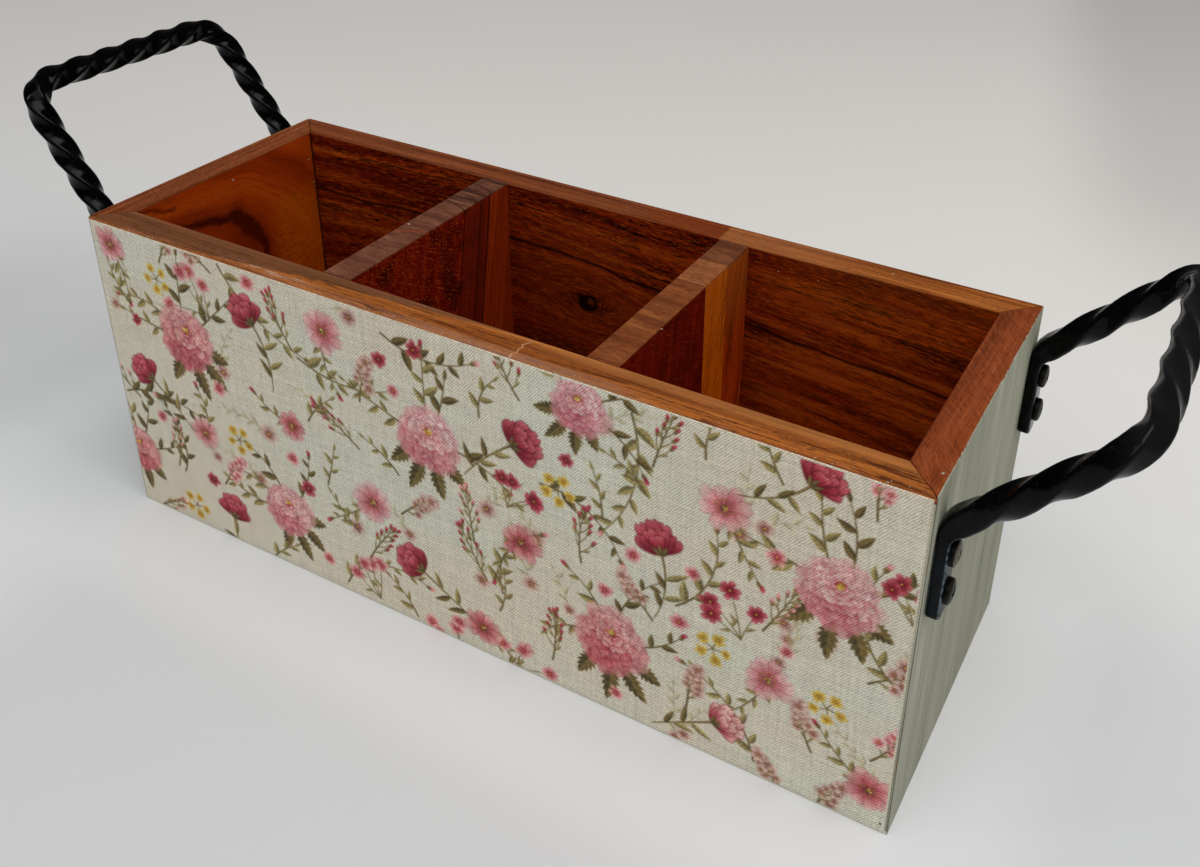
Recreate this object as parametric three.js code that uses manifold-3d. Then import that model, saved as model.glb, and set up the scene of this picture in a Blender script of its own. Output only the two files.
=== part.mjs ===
// A divided wooden box: four mitred wall boards, a floor board and two dividers, with canvas glued
// to its front and a hand-forged handle of twisted square bar screwed to each end.
// Millimetres, +Z up. The origin is the middle of the underside, +X runs along the box, and the
// canvas front faces -Y.

import * as THREE from 'three';
import * as BufferGeometryUtils from 'three/addons/utils/BufferGeometryUtils.js';
import Module from 'manifold-3d';

// The box, measured over its boards
const BOX_LENGTH = 350;
const BOX_DEPTH = 125.2;
const BOX_HEIGHT = 141;
const WALL = 12.6;
const FLOOR_BOARD = 8;
const FLOOR_CLEARANCE = 0.3;      // all round the floor board, inside the walls
const MITRE_GAP = 0.3;            // glue line, square to the mitre
const EASED_EDGE = 0.5;           // plain edges are rubbed down by this much
const FRONT_ROUND_DEPTH = 3.2;    // the front rim is worn round: this far back from the front face
const FRONT_ROUND_DROP = 1.1;     // and this far down it
const BACK_JOINT = 50.2;          // the back is pieced from two lengths, butted at this X

// The dividers, flush with the rim
const DIVIDER = 12.4;
const MIDDLE_COMPARTMENT = 102;
const RIGHT_DIVIDER_FRONT_BLOCK = 62.8;
const RIGHT_DIVIDER_MIDDLE_BLOCK = 18.2;

// The canvas on the front
const CANVAS = 0.6;
const CANVAS_SIDE_MARGIN = 0.9;
const CANVAS_FOOT_MARGIN = 1;
const CANVAS_CORNER = 1.2;

// The handles: square bar, twisted, hammered flat at both feet and bent up by hand,
// so that the two differ a little
const BAR = 8.4;
const BAR_EDGE_RADIUS = 1.6;
const FOOT_WIDTH = 11;
const FOOT_THICKNESS = 4.5;
const FOOT_CORNER = 2.5;          // radius that rounds off a foot's end
const FOOT_BELOW_SCREW = 9.2;     // the foot's end under the middle of its lower screw
const FOOT_TO_BAR = 10;           // length over which a foot swells into the square bar
const SWELL_BELOW_BEND = 1.2;     // where it starts to, under the bend
const BEND_RADIUS = 8;            // where a leg leaves the wall
const CORNER_RADIUS = 12.6;       // where a leg turns into the grip
const TWIST_INSET = 8;            // the twist starts and stops this far past the bends
const TWIST_RAMP = 0.04;          // share of the twisted length in which it picks up, and slackens
const LEFT_HANDLE = {
  name: 'left',
  side: -1,
  frontInset: 12.5,               // middle of the front foot from the front edge of the end
  backInset: 10.5,                // and of the back foot from the back edge
  lean: 34.5,                     // degrees from upright
  bendHeight: 128,
  reach: 67.7,                    // from the bend to the middle of the grip, along a leg
  sway: -1.2,                     // the grip is shifted backwards against the feet by this much
  splay: -1.2,                    // and each leg leans outwards
  ridges: 14,                     // quarter turns in the twist
};
const RIGHT_HANDLE = {
  name: 'right',
  side: 1,
  frontInset: 9.6,
  backInset: 6.2,
  lean: 45.5,
  bendHeight: 125.2,
  reach: 67.5,
  sway: -1.2,
  splay: 1.2,
  ridges: 11,
};

// The screws: pan heads with a cross recess, two through each foot
const SCREW_HEAD = 8.6;
const SCREW_HEAD_HEIGHT = 2.4;
const SCREW_HEAD_RIM = 1.3;       // straight side of the head, under its dome
const SCREW_SHANK = 3.8;
const SCREW_IN_WALL = 9;          // length of shank in the end board
const SCREW_POINT = 3;
const SCREW_HOLE_CLEARANCE = 0.3; // round the shank and past its point
const SCREW_TO_SWELL = 0.2;       // the upper head clears the swelling of the foot by this much
const SCREW_PITCH = 14.7;
const RECESS_SPAN = 5;
const RECESS_WIDTH = 1;
const RECESS_DEPTH = 1.3;

// Fineness of the curves
const ARC_DETAIL = 2;             // an arc in an outline gets twice this many sides
const BAR_ROW = 2;                // length of bar to a row of faces
const FOOT_END_ROWS = 4;
const SCREW_SIDES = 20;
const DOME_STEPS = 4;
const WELD = 1e-4;                // points closer than this are one

const HALF_LENGTH = BOX_LENGTH / 2;
const HALF_DEPTH = BOX_DEPTH / 2;
const INNER_DEPTH = BOX_DEPTH - 2 * WALL;
const DIVIDER_HEIGHT = BOX_HEIGHT - FLOOR_BOARD;
const DIVIDER_X = (MIDDLE_COMPARTMENT + DIVIDER) / 2;

const wood = { color: 0x8a4a24, roughness: 0.55, metalness: 0 };
const darkWood = { color: 0x5e2c17, roughness: 0.5, metalness: 0 };
const lightWood = { color: 0xa5612f, roughness: 0.55, metalness: 0 };
const cloth = { color: 0xcfcabb, roughness: 0.9, metalness: 0 };
const blackIron = { color: 0x101214, roughness: 0.4, metalness: 0.4 };
const wornSteel = { color: 0x3a3b3c, roughness: 0.4, metalness: 0.8 };

const wasm = await Module();
wasm.setup();

// A solid from a closed mesh
function solid(geometry) {
  const bare = geometry.clone();
  bare.deleteAttribute('normal');
  bare.deleteAttribute('uv');
  const merged = BufferGeometryUtils.mergeVertices(bare, WELD);
  return new wasm.Manifold(new wasm.Mesh({
    numProp: 3,
    vertProperties: new Float32Array(merged.getAttribute('position').array),
    triVerts: new Uint32Array(merged.index.array),
  }));
}

// The mesh of a solid, as a geometry with flat faces
function faceted(body) {
  const mesh = body.getMesh();
  const geometry = new THREE.BufferGeometry();
  geometry.setAttribute('position', new THREE.BufferAttribute(new Float32Array(mesh.vertProperties), 3));
  geometry.setIndex(new THREE.BufferAttribute(new Uint32Array(mesh.triVerts), 1));
  geometry.computeVertexNormals();
  return geometry;
}

function without(geometry, cutters) {
  return faceted(cutters.reduce((body, cutter) => body.subtract(solid(cutter)), solid(geometry)));
}

function extruded(shape, depth, steps = 1) {
  return new THREE.ExtrudeGeometry(shape, { depth, steps, bevelEnabled: false, curveSegments: ARC_DETAIL });
}

function piece(name, geometry, finish) {
  const mesh = new THREE.Mesh(geometry, new THREE.MeshStandardMaterial(finish));
  mesh.name = name;
  return mesh;
}

// A board's section: u runs inwards from its outer face, v upwards. The outer top edge is rounded
// over a width and a drop of its own, and the inner one is only eased.
function boardSection(thickness, height, roundDepth, roundDrop) {
  const section = new THREE.Shape();
  section.moveTo(0, 0);
  section.lineTo(thickness, 0);
  section.lineTo(thickness, height - EASED_EDGE);
  section.absarc(thickness - EASED_EDGE, height - EASED_EDGE, EASED_EDGE, 0, Math.PI / 2);
  section.lineTo(roundDepth, height);
  section.absellipse(roundDepth, height - roundDrop, roundDepth, roundDrop, Math.PI / 2, Math.PI);
  return section;
}

// A wall board along X with its outer face on Y = 0. An end is mitred, cut back by half the glue
// line, or left square.
function wallBoard({
  length, roundDepth = EASED_EDGE, roundDrop = EASED_EDGE, mitredStart = true, mitredEnd = true,
}) {
  const section = boardSection(WALL, BOX_HEIGHT, roundDepth, roundDrop);
  const board = extruded(section, length);
  board.applyMatrix4(new THREE.Matrix4().makeBasis(
    new THREE.Vector3(0, 1, 0), new THREE.Vector3(0, 0, 1), new THREE.Vector3(1, 0, 0)));
  const cutBack = MITRE_GAP / 2 * Math.SQRT2;
  const at = board.getAttribute('position');
  for (let i = 0; i < at.count; i++) {
    const isStart = at.getX(i) < length / 2;
    const set = cutBack + at.getY(i);
    if (isStart && mitredStart) at.setX(i, set);
    if (!isStart && mitredEnd) at.setX(i, length - set);
  }
  return board;
}

// A screw along +X with the underside of its head on X = 0, its recess turned by an angle
function screw(turn) {
  const headRadius = SCREW_HEAD / 2;
  const shankRadius = SCREW_SHANK / 2;
  const length = FOOT_THICKNESS + SCREW_IN_WALL;
  const profile = [
    new THREE.Vector2(0, -length),
    new THREE.Vector2(shankRadius, SCREW_POINT - length),
    new THREE.Vector2(shankRadius, 0),
    new THREE.Vector2(headRadius, 0),
  ];
  for (let i = 0; i <= DOME_STEPS; i++) {
    const angle = i / DOME_STEPS * Math.PI / 2;
    const height = SCREW_HEAD_RIM + (SCREW_HEAD_HEIGHT - SCREW_HEAD_RIM) * Math.sin(angle);
    profile.push(new THREE.Vector2(i === DOME_STEPS ? 0 : headRadius * Math.cos(angle), height));
  }
  const turned = new THREE.LatheGeometry(profile, SCREW_SIDES);
  const slots = [0, Math.PI / 2].map((angle) => {
    const slot = new THREE.BoxGeometry(RECESS_SPAN, 2 * RECESS_DEPTH, RECESS_WIDTH);
    slot.rotateY(angle + turn);
    slot.translate(0, SCREW_HEAD_HEIGHT, 0);
    return slot;
  });
  const cut = without(turned, slots);
  cut.rotateZ(-Math.PI / 2);
  return cut;
}

// A hole for a screw's shank along X
function screwHole({ side, y, z }) {
  const inner = HALF_LENGTH - SCREW_IN_WALL - SCREW_HOLE_CLEARANCE;
  const outer = HALF_LENGTH + 2 * FOOT_THICKNESS;
  const radius = SCREW_SHANK / 2 + SCREW_HOLE_CLEARANCE;
  const hole = new THREE.CylinderGeometry(radius, radius, outer - inner, SCREW_SIDES);
  hole.rotateZ(Math.PI / 2);
  hole.translate(side * (inner + outer) / 2, y, z);
  return hole;
}

// Rises from 0 to 1 at a steady rate, but starts and stops gently over a share of the way
function gentleRise(share, ramp) {
  if (share < ramp) return share * share / (2 * ramp * (1 - ramp));
  if (share > 1 - ramp) return 1 - (1 - share) ** 2 / (2 * ramp * (1 - ramp));
  return (share - ramp / 2) / (1 - ramp);
}

// Heights along a handle's feet, from the bend downwards
function footHeights({ lean, bendHeight }) {
  const bendTangent = BEND_RADIUS * Math.tan(THREE.MathUtils.degToRad(lean) / 2);
  const flatTop = bendHeight - bendTangent - SWELL_BELOW_BEND;
  const upperScrew = flatTop - SCREW_TO_SWELL - SCREW_HEAD / 2;
  const lowerScrew = upperScrew - SCREW_PITCH;
  return { bendTangent, flatTop, upperScrew, lowerScrew, bottom: lowerScrew - FOOT_BELOW_SCREW };
}

function legSpacing({ frontInset, backInset }) {
  return BOX_DEPTH - frontInset - backInset;
}

// The middle line of a handle, in its own frame: X away from the wall, Y along the wall, Z up.
// The line is the same from both feet, so a distance past the middle is counted back from the end.
// Above the bends the grip's sway and the legs' splay are added.
function handleLine(shape) {
  const { side, lean, bendHeight, reach, sway, splay } = shape;
  const { bendTangent, flatTop, bottom } = footHeights(shape);
  const spacing = legSpacing(shape);
  const angle = THREE.MathUtils.degToRad(lean);
  const foot = bendHeight - bendTangent - bottom;
  const bend = foot + BEND_RADIUS * angle;
  const leg = bend + reach - bendTangent - CORNER_RADIUS;
  const corner = leg + CORNER_RADIUS * Math.PI / 2;
  const length = 2 * corner + spacing - 2 * CORNER_RADIUS;
  const up = new THREE.Vector3(Math.sin(angle), 0, Math.cos(angle));
  const bendPoint = new THREE.Vector3(FOOT_THICKNESS / 2, 0, bendHeight);

  function halfWay(distance) {
    const point = new THREE.Vector3(FOOT_THICKNESS / 2, -spacing / 2, 0);
    const along = new THREE.Vector3(0, 0, 1);
    const slope = THREE.MathUtils.clamp((distance - foot) / BEND_RADIUS, 0, angle);
    if (distance <= foot) {
      point.z = bottom + distance;
    } else if (distance <= bend) {
      point.x += BEND_RADIUS * (1 - Math.cos(slope));
      point.z = bottom + foot + BEND_RADIUS * Math.sin(slope);
      along.set(Math.sin(slope), 0, Math.cos(slope));
    } else {
      const turn = THREE.MathUtils.clamp((distance - leg) / CORNER_RADIUS, 0, Math.PI / 2);
      const rise = Math.min(distance, leg) - bend + bendTangent + CORNER_RADIUS * Math.sin(turn);
      const across = CORNER_RADIUS * (1 - Math.cos(turn)) + Math.max(distance - corner, 0);
      point.copy(bendPoint).addScaledVector(up, rise);
      point.y = across - spacing / 2;
      along.copy(up).multiplyScalar(Math.cos(turn));
      along.y = Math.sin(turn);
    }
    return { point, along, slope };
  }

  function at(distance) {
    const isBack = distance > length / 2;
    const { point, along, slope } = halfWay(isBack ? length - distance : distance);
    if (isBack) {
      point.y = -point.y;
      along.x = -along.x;
      along.z = -along.z;
    }
    const share = Math.max(point.z - bendHeight, 0) / (reach * up.z);
    point.y += share * (side * sway + splay * 2 * point.y / spacing);
    const outwards = new THREE.Vector3(Math.cos(slope), 0, -Math.sin(slope));
    return { point, outwards, sideways: new THREE.Vector3().crossVectors(along, outwards) };
  }

  return { at, length, foot, flat: flatTop - bottom };
}

// Distances along a handle at which its section is set: close together at the rounded ends of the
// feet, one step along each flat, and evenly from there on
function handleRows({ length, flat }) {
  const rows = [];
  for (let i = 0; i <= FOOT_END_ROWS; i++) {
    rows.push(FOOT_CORNER * (1 - Math.cos(i / FOOT_END_ROWS * Math.PI / 2)));
  }
  const steps = Math.round((length - 2 * flat) / BAR_ROW);
  const middle = Array.from({ length: steps + 1 }, (_, i) => flat + i / steps * (length - 2 * flat));
  return [...rows, ...middle, ...rows.map((row) => length - row).reverse()];
}

// The bar is drawn straight, one row of faces to a unit of length, and each row is then hammered
// flat or left square, twisted, and carried to its place on the bent middle line.
function handleBar(shape) {
  const line = handleLine(shape);
  const rows = handleRows(line);
  const half = BAR / 2 - BAR_EDGE_RADIUS;
  const section = new THREE.Shape();
  for (let side = 0; side < 4; side++) {
    const angle = side * Math.PI / 2;
    const centre = new THREE.Vector2(half, half).rotateAround(new THREE.Vector2(), angle);
    section.absarc(centre.x, centre.y, BAR_EDGE_RADIUS, angle, angle + Math.PI / 2);
  }
  const bar = extruded(section, rows.length - 1, rows.length - 1);
  const twistStart = line.foot + TWIST_INSET;
  const twistEnd = line.length - twistStart;
  const at = bar.getAttribute('position');
  for (let i = 0; i < at.count; i++) {
    const distance = rows[Math.round(at.getZ(i))];
    const fromEnd = Math.min(distance, line.length - distance);
    const square = THREE.MathUtils.smoothstep(fromEnd, line.flat, line.flat + FOOT_TO_BAR);
    const twisted = THREE.MathUtils.clamp((distance - twistStart) / (twistEnd - twistStart), 0, 1);
    const turn = -shape.ridges * Math.PI / 2 * gentleRise(twisted, TWIST_RAMP);
    const inset = FOOT_CORNER - Math.min(fromEnd, FOOT_CORNER);
    const rounding = FOOT_CORNER - Math.sqrt(FOOT_CORNER ** 2 - inset ** 2);
    const corner = new THREE.Vector2(at.getX(i), at.getY(i)).rotateAround(new THREE.Vector2(), turn);
    const width = THREE.MathUtils.lerp(FOOT_WIDTH - 2 * rounding, BAR, square) / BAR;
    const thickness = THREE.MathUtils.lerp(FOOT_THICKNESS, BAR, square) / BAR;
    const { point, outwards, sideways } = line.at(distance);
    point.addScaledVector(outwards, corner.x * thickness).addScaledVector(sideways, corner.y * width);
    at.setXYZ(i, Math.max(point.x, 0), point.y, point.z);
  }
  return bar;
}

const box = new THREE.Group();

const handles = [LEFT_HANDLE, RIGHT_HANDLE];

// Two screws through each foot. Near the corners they run on across the mitres.
const screws = [];
for (const handle of handles) {
  const { upperScrew, lowerScrew } = footHeights(handle);
  const feet = [['front', handle.frontInset - HALF_DEPTH], ['back', HALF_DEPTH - handle.backInset]];
  for (const [foot, y] of feet) {
    for (const [height, z] of [['lower', lowerScrew], ['upper', upperScrew]]) {
      screws.push({ name: `${handle.name}_${foot}_${height}_screw`, side: handle.side, y, z });
    }
  }
}
const holes = screws.map(screwHole);

for (const { name, side, y, z } of screws) {
  const fixing = screw(y + z);
  if (side < 0) fixing.rotateZ(Math.PI);
  fixing.translate(side * (HALF_LENGTH + FOOT_THICKNESS), y, z);
  box.add(piece(name, fixing, wornSteel));
}

for (const handle of handles) {
  const bar = handleBar(handle);
  bar.translate(HALF_LENGTH, 0, 0);
  if (handle.side < 0) bar.rotateZ(Math.PI);
  bar.translate(0, (handle.frontInset - handle.backInset) / 2, 0);
  box.add(piece(`${handle.name}_handle`, without(bar, holes), blackIron));
}

// Walls, mitred at the four corners. Each is drawn facing -Y and then turned about Z.
const frontBoard = wallBoard({
  length: BOX_LENGTH, roundDepth: FRONT_ROUND_DEPTH, roundDrop: FRONT_ROUND_DROP,
});
const backRight = wallBoard({ length: HALF_LENGTH - BACK_JOINT, mitredEnd: false });
const backLeft = wallBoard({ length: HALF_LENGTH + BACK_JOINT, mitredStart: false });
const walls = [
  ['front_board', frontBoard, 0, -HALF_LENGTH, -HALF_DEPTH, wood],
  ['right_end_board', wallBoard({ length: BOX_DEPTH }), 1, HALF_LENGTH, -HALF_DEPTH, lightWood],
  ['back_board_right', backRight, 2, HALF_LENGTH, HALF_DEPTH, wood],
  ['back_board_left', backLeft, 2, BACK_JOINT, HALF_DEPTH, wood],
  ['left_end_board', wallBoard({ length: BOX_DEPTH }), 3, -HALF_LENGTH, HALF_DEPTH, lightWood],
];
for (const [name, board, quarterTurns, x, y, finish] of walls) {
  board.rotateZ(quarterTurns * Math.PI / 2);
  board.translate(x, y, 0);
  box.add(piece(name, without(board, holes), finish));
}

// Floor board, inside the walls and flush with their lower edges
const inset = 2 * (WALL + FLOOR_CLEARANCE);
const floorBoard = new THREE.BoxGeometry(BOX_LENGTH - inset, BOX_DEPTH - inset, FLOOR_BOARD);
floorBoard.translate(0, 0, FLOOR_BOARD / 2);
box.add(piece('floor_board', floorBoard, darkWood));

// A divider block along Y, standing on the floor board, with its top edges eased
function dividerBlock(x, start, length) {
  const half = DIVIDER / 2;
  const section = new THREE.Shape();
  section.moveTo(half, 0);
  section.lineTo(half, DIVIDER_HEIGHT - EASED_EDGE);
  section.absarc(half - EASED_EDGE, DIVIDER_HEIGHT - EASED_EDGE, EASED_EDGE, 0, Math.PI / 2);
  section.absarc(EASED_EDGE - half, DIVIDER_HEIGHT - EASED_EDGE, EASED_EDGE, Math.PI / 2, Math.PI);
  section.lineTo(-half, 0);
  const block = extruded(section, length);
  block.rotateX(Math.PI / 2);
  block.translate(x, start + length, FLOOR_BOARD);
  return block;
}

const innerFront = WALL - HALF_DEPTH;
box.add(piece('divider_left', dividerBlock(-DIVIDER_X, innerFront, INNER_DEPTH), darkWood));

// The right-hand divider is glued up from three upright blocks
const rightBlocks = [
  ['front', RIGHT_DIVIDER_FRONT_BLOCK, darkWood],
  ['middle', RIGHT_DIVIDER_MIDDLE_BLOCK, lightWood],
  ['back', INNER_DEPTH - RIGHT_DIVIDER_FRONT_BLOCK - RIGHT_DIVIDER_MIDDLE_BLOCK, wood],
];
let blockStart = innerFront;
for (const [name, length, finish] of rightBlocks) {
  box.add(piece(`divider_right_${name}`, dividerBlock(DIVIDER_X, blockStart, length), finish));
  blockStart += length;
}

// Canvas on the front, from just above the lower edge to where the rim's rounding starts
const canvasSide = HALF_LENGTH - CANVAS_SIDE_MARGIN;
const canvasTop = BOX_HEIGHT - FRONT_ROUND_DROP;
const cornerX = canvasSide - CANVAS_CORNER;
const cornerZ = CANVAS_FOOT_MARGIN + CANVAS_CORNER;
const outline = new THREE.Shape();
outline.moveTo(canvasSide, canvasTop);
outline.lineTo(-canvasSide, canvasTop);
outline.absarc(-cornerX, cornerZ, CANVAS_CORNER, Math.PI, 1.5 * Math.PI);
outline.absarc(cornerX, cornerZ, CANVAS_CORNER, 1.5 * Math.PI, 2 * Math.PI);
const canvas = extruded(outline, CANVAS);
canvas.rotateX(Math.PI / 2);
canvas.translate(0, -HALF_DEPTH, 0);
box.add(piece('front_canvas', canvas, cloth));

export default box;
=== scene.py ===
"""The divided wooden box as it looks: oiled hardwood boards with sage paint outside, printed
canvas glued to the front, and twisted black handles. Sizes are in millimetres until a mesh is made."""

import math

import bmesh
import bpy
import numpy as np
from mathutils import Matrix, Vector, noise


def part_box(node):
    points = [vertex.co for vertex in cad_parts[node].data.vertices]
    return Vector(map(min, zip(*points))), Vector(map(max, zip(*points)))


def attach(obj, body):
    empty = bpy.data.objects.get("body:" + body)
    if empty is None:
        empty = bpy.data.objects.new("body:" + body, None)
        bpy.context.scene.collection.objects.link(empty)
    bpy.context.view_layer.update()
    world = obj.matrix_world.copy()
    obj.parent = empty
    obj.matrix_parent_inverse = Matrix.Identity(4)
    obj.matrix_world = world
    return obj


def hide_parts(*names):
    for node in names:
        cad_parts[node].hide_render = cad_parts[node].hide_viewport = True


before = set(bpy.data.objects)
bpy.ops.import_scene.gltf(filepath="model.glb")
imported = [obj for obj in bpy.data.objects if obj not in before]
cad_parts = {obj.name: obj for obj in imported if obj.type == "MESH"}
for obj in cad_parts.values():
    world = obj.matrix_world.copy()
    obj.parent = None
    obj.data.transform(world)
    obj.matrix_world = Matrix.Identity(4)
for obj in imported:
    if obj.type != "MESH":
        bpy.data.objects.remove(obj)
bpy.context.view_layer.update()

MM = 0.001
HALF_LENGTH, HALF_DEPTH, HEIGHT, WALL = 175.0, 62.6, 141.0, 12.6
INNER_X, INNER_Y = HALF_LENGTH - WALL, HALF_DEPTH - WALL
BACK_JOINT = 50.2
DIVIDER_X, HALF_DIVIDER = 57.2, 6.2
RIM_STARTS = (140.15, 140.6)
KNOT_X, KNOT_Z = -10.6, 93.6
WARP_PERIOD, WEFT_PERIOD = 1.16, 1.31
WOOD_GLOSS, PAINT_ROUGHNESS = 0.09, 0.7


# Colours are given as they look on a screen, 0 to 255

def linear(colour):
    share = np.asarray(colour, float) / 255
    return np.where(share <= 0.04045, share / 12.92, ((share + 0.055) / 1.055) ** 2.4)


def paint_colour(colour):
    return (*(float(c) for c in linear(colour)), 1.0)


def smooth(low, high, value):
    share = np.clip((value - low) / (high - low), 0, 1)
    return share * share * (3 - 2 * share)


# Materials, whose nodes are laid down in code

class Value:
    """A number, place or colour in a material. Numbers can be reckoned with."""

    def __init__(self, socket):
        self.socket = socket

    def calc(self, operation, *others):
        return first("ShaderNodeMath", self, *others, operation=operation)

    def __add__(self, other):
        return self.calc("ADD", other)

    def __sub__(self, other):
        return self.calc("SUBTRACT", other)

    def __rsub__(self, other):
        return self.calc("MULTIPLY_ADD", -1.0, other)

    def __mul__(self, other):
        return self.calc("MULTIPLY", other)

    def __abs__(self):
        return self.calc("ABSOLUTE")

    def step(self, low, high):
        """0 below low and 1 above high, with a soft change between. The other way if low is the higher."""
        return first("ShaderNodeMapRange", self, low, high, 0.0, 1.0, interpolation_type="SMOOTHSTEP")

    def within(self, low, rise, fall, high):
        """1 from rise to fall, and 0 below low and above high."""
        return self.step(low, rise) * self.step(high, fall)


def put(socket, value):
    if isinstance(value, Value):
        socket.id_data.links.new(value.socket, socket)
    elif value is not None:
        socket.default_value = value


MATERIALS = []


def node(kind, *values, **settings):
    """A node in the newest material."""
    made = MATERIALS[-1].node_tree.nodes.new(kind)
    for key, value in settings.items():
        setattr(made, key, value)
    for socket, value in zip(made.inputs, values):
        put(socket, value)
    return made


def first(kind, *values, **settings):
    """A new node's first output."""
    return Value(node(kind, *values, **settings).outputs[0])


def start(name):
    """Starts a material. Returns the place on its surface in millimetres, as x, y and z."""
    MATERIALS.append(bpy.data.materials.new(name))
    MATERIALS[-1].use_nodes = True
    place = Value(node("ShaderNodeTexCoord").outputs["Object"])
    scaled = first("ShaderNodeVectorMath", place, (1 / MM,) * 3, operation="MULTIPLY")
    return [Value(axis) for axis in node("ShaderNodeSeparateXYZ", scaled).outputs]


def attribute(name):
    return Value(node("ShaderNodeAttribute", attribute_name=name).outputs["Fac"])


def blotch(place, sizes, seed, detail=2.0, rough=0.5):
    """Noise from 0 to 1 whose blotches measure about sizes along the one to three ways of place."""
    if not isinstance(sizes, tuple):
        sizes = (sizes,) * len(place)
    scale = tuple(1 / size for size in sizes) + (1.0,) * (3 - len(place))
    shift = (seed * 17.31, seed * 5.17 + 3.7, seed * 9.73 + 1.9)
    place = first("ShaderNodeCombineXYZ", *place)
    place = first("ShaderNodeVectorMath", place, scale, shift, operation="MULTIPLY_ADD")
    made = node("ShaderNodeTexNoise", place)
    for name, value in (("Scale", 1.0), ("Detail", detail), ("Roughness", rough)):
        made.inputs[name].default_value = value
    return Value(made.outputs[0])


def ramp(value, tones):
    """A colour from (place, colour) tones."""
    made = node("ShaderNodeValToRGB", value)
    stops = made.color_ramp.elements
    while len(stops) < len(tones):
        stops.new(0.5)
    for stop, (place, colour) in zip(stops, tones):
        stop.position, stop.color = place, paint_colour(colour)
    return Value(made.outputs[0])


def two_tone(value, dark, pale):
    return ramp(value, ((0.3, dark), (0.7, pale)))


def mix(share, a, b, blend_type="MIX"):
    """A colour between a and b."""
    made = node("ShaderNodeMix", data_type="RGBA", blend_type=blend_type)
    for index, value in ((0, share), (6, a), (7, b)):
        put(made.inputs[index], paint_colour(value) if isinstance(value, tuple) else value)
    return Value(made.outputs[2])


def blend(share, a, b):
    """A number between a and b."""
    return first("ShaderNodeMix", share, None, a, b, data_type="FLOAT")


def hypot(a, b):
    return (a * a + b * b).calc("SQRT")


def nearest(distance, *others):
    for other in others:
        distance = distance.calc("MINIMUM", other)
    return distance


def stretch(u, v, a, b):
    """Distance from the straight stretch between two points, and the share of the way along it."""
    length = math.dist(a, b)
    c, s = (b[0] - a[0]) / length, (b[1] - a[1]) / length
    du, dv = u - a[0], v - a[1]
    along = first("ShaderNodeClamp", du * c + dv * s, 0.0, length)
    return hypot(du - along * c, dv - along * s), along * (1 / length)


class Look:
    """A surface's colour, and its height from about 0 to 1."""

    def __init__(self, colour, height=None):
        self.colour, self.height = colour, height

    def coat(self, share, colour):
        self.colour = mix(share, self.colour, colour)

    def tint(self, tone):
        """Multiplies the colour by a grey tone."""
        grey = first("ShaderNodeCombineXYZ", tone, tone, tone)
        self.colour = first("ShaderNodeVectorMath", self.colour, grey, operation="MULTIPLY")

    def cover(self, share, look):
        self.coat(share, look.colour)
        self.height = blend(share, self.height, look.height)

    def finish(self, roughness, relief, specular=0.5, **others):
        """Sets the newest material's shader. relief is the depth in millimetres of a height of 1."""
        material = MATERIALS[-1]
        bump = node("ShaderNodeBump", 1.0, relief * MM)
        put(bump.inputs["Height"], self.height)
        settings = {"Base Color": self.colour, "Roughness": roughness, "Normal": Value(bump.outputs[0]),
                    "Specular IOR Level": specular, **others}
        for name, value in settings.items():
            put(material.node_tree.nodes["Principled BSDF"].inputs[name], value)
        return material

    def oiled(self, glossy, dull, cover=None, relief=0.12):
        """Finishes oiled wood, a little duller in its pores, and duller still where paint covers it."""
        roughness = blend(self.height, dull, glossy)
        if cover:
            roughness = blend(cover, roughness, PAINT_ROUGHNESS)
        return self.finish(roughness, relief, WOOD_GLOSS)


def grain(place, tones, seed, dark, *, wander=8.0, pitch=7.0, streaks=0.7, run=1.0, fibre=0.22, pores=0.5,
          rag=0.6):
    """Oiled wood whose grain runs along place's first way. dark is the colour of its streaks."""
    along, across, depth = place

    def figure(length, width, shift, detail, rough=0.5):
        return blotch((along, across, depth), (length, width, width), seed + shift, detail, rough)

    across = (figure(150 * run, 34, 0, 1.0) - 0.5) * (2 * wander) + across
    across = (figure(5.5, 2.2, 1, 3.0, 0.6) - 0.5) * (2 * rag) + across
    wood = Look(ramp(figure(210 * run, pitch, 3, 3.0, 0.55), tones))
    patch = figure(110 * run, 16, 5, 1.0)
    line = figure(40 * run, pitch * 0.2, 7, 4.0, 0.7).step(0.505, 0.60)
    wood.coat(line * (patch.step(0.38, 0.58) * 0.75 + 0.25) * streaks, dark)
    hairs = figure(26 * run, 0.55, 9, 3.0, 0.6).step(0.52, 0.64)
    wood.coat(hairs * (patch.step(0.58, 0.40) * 0.7 + 0.3) * (0.75 * streaks), dark)
    fibres = figure(9, 0.5, 11, 2.0, 0.6)
    wood.tint((fibres - 0.5) * (2 * fibre) + 1.0)
    pore = figure(3.2, 0.34, 13, 1.0).step(0.60, 0.72)
    wood.coat(pore * pores, dark)
    wood.height = fibres * 0.5 + 0.5 - pore * 0.6
    return wood


SAGE = ((0.30, (132, 134, 115)), (0.44, (160, 161, 140)), (0.56, (172, 172, 150)), (0.72, (196, 195, 176)))


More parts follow.
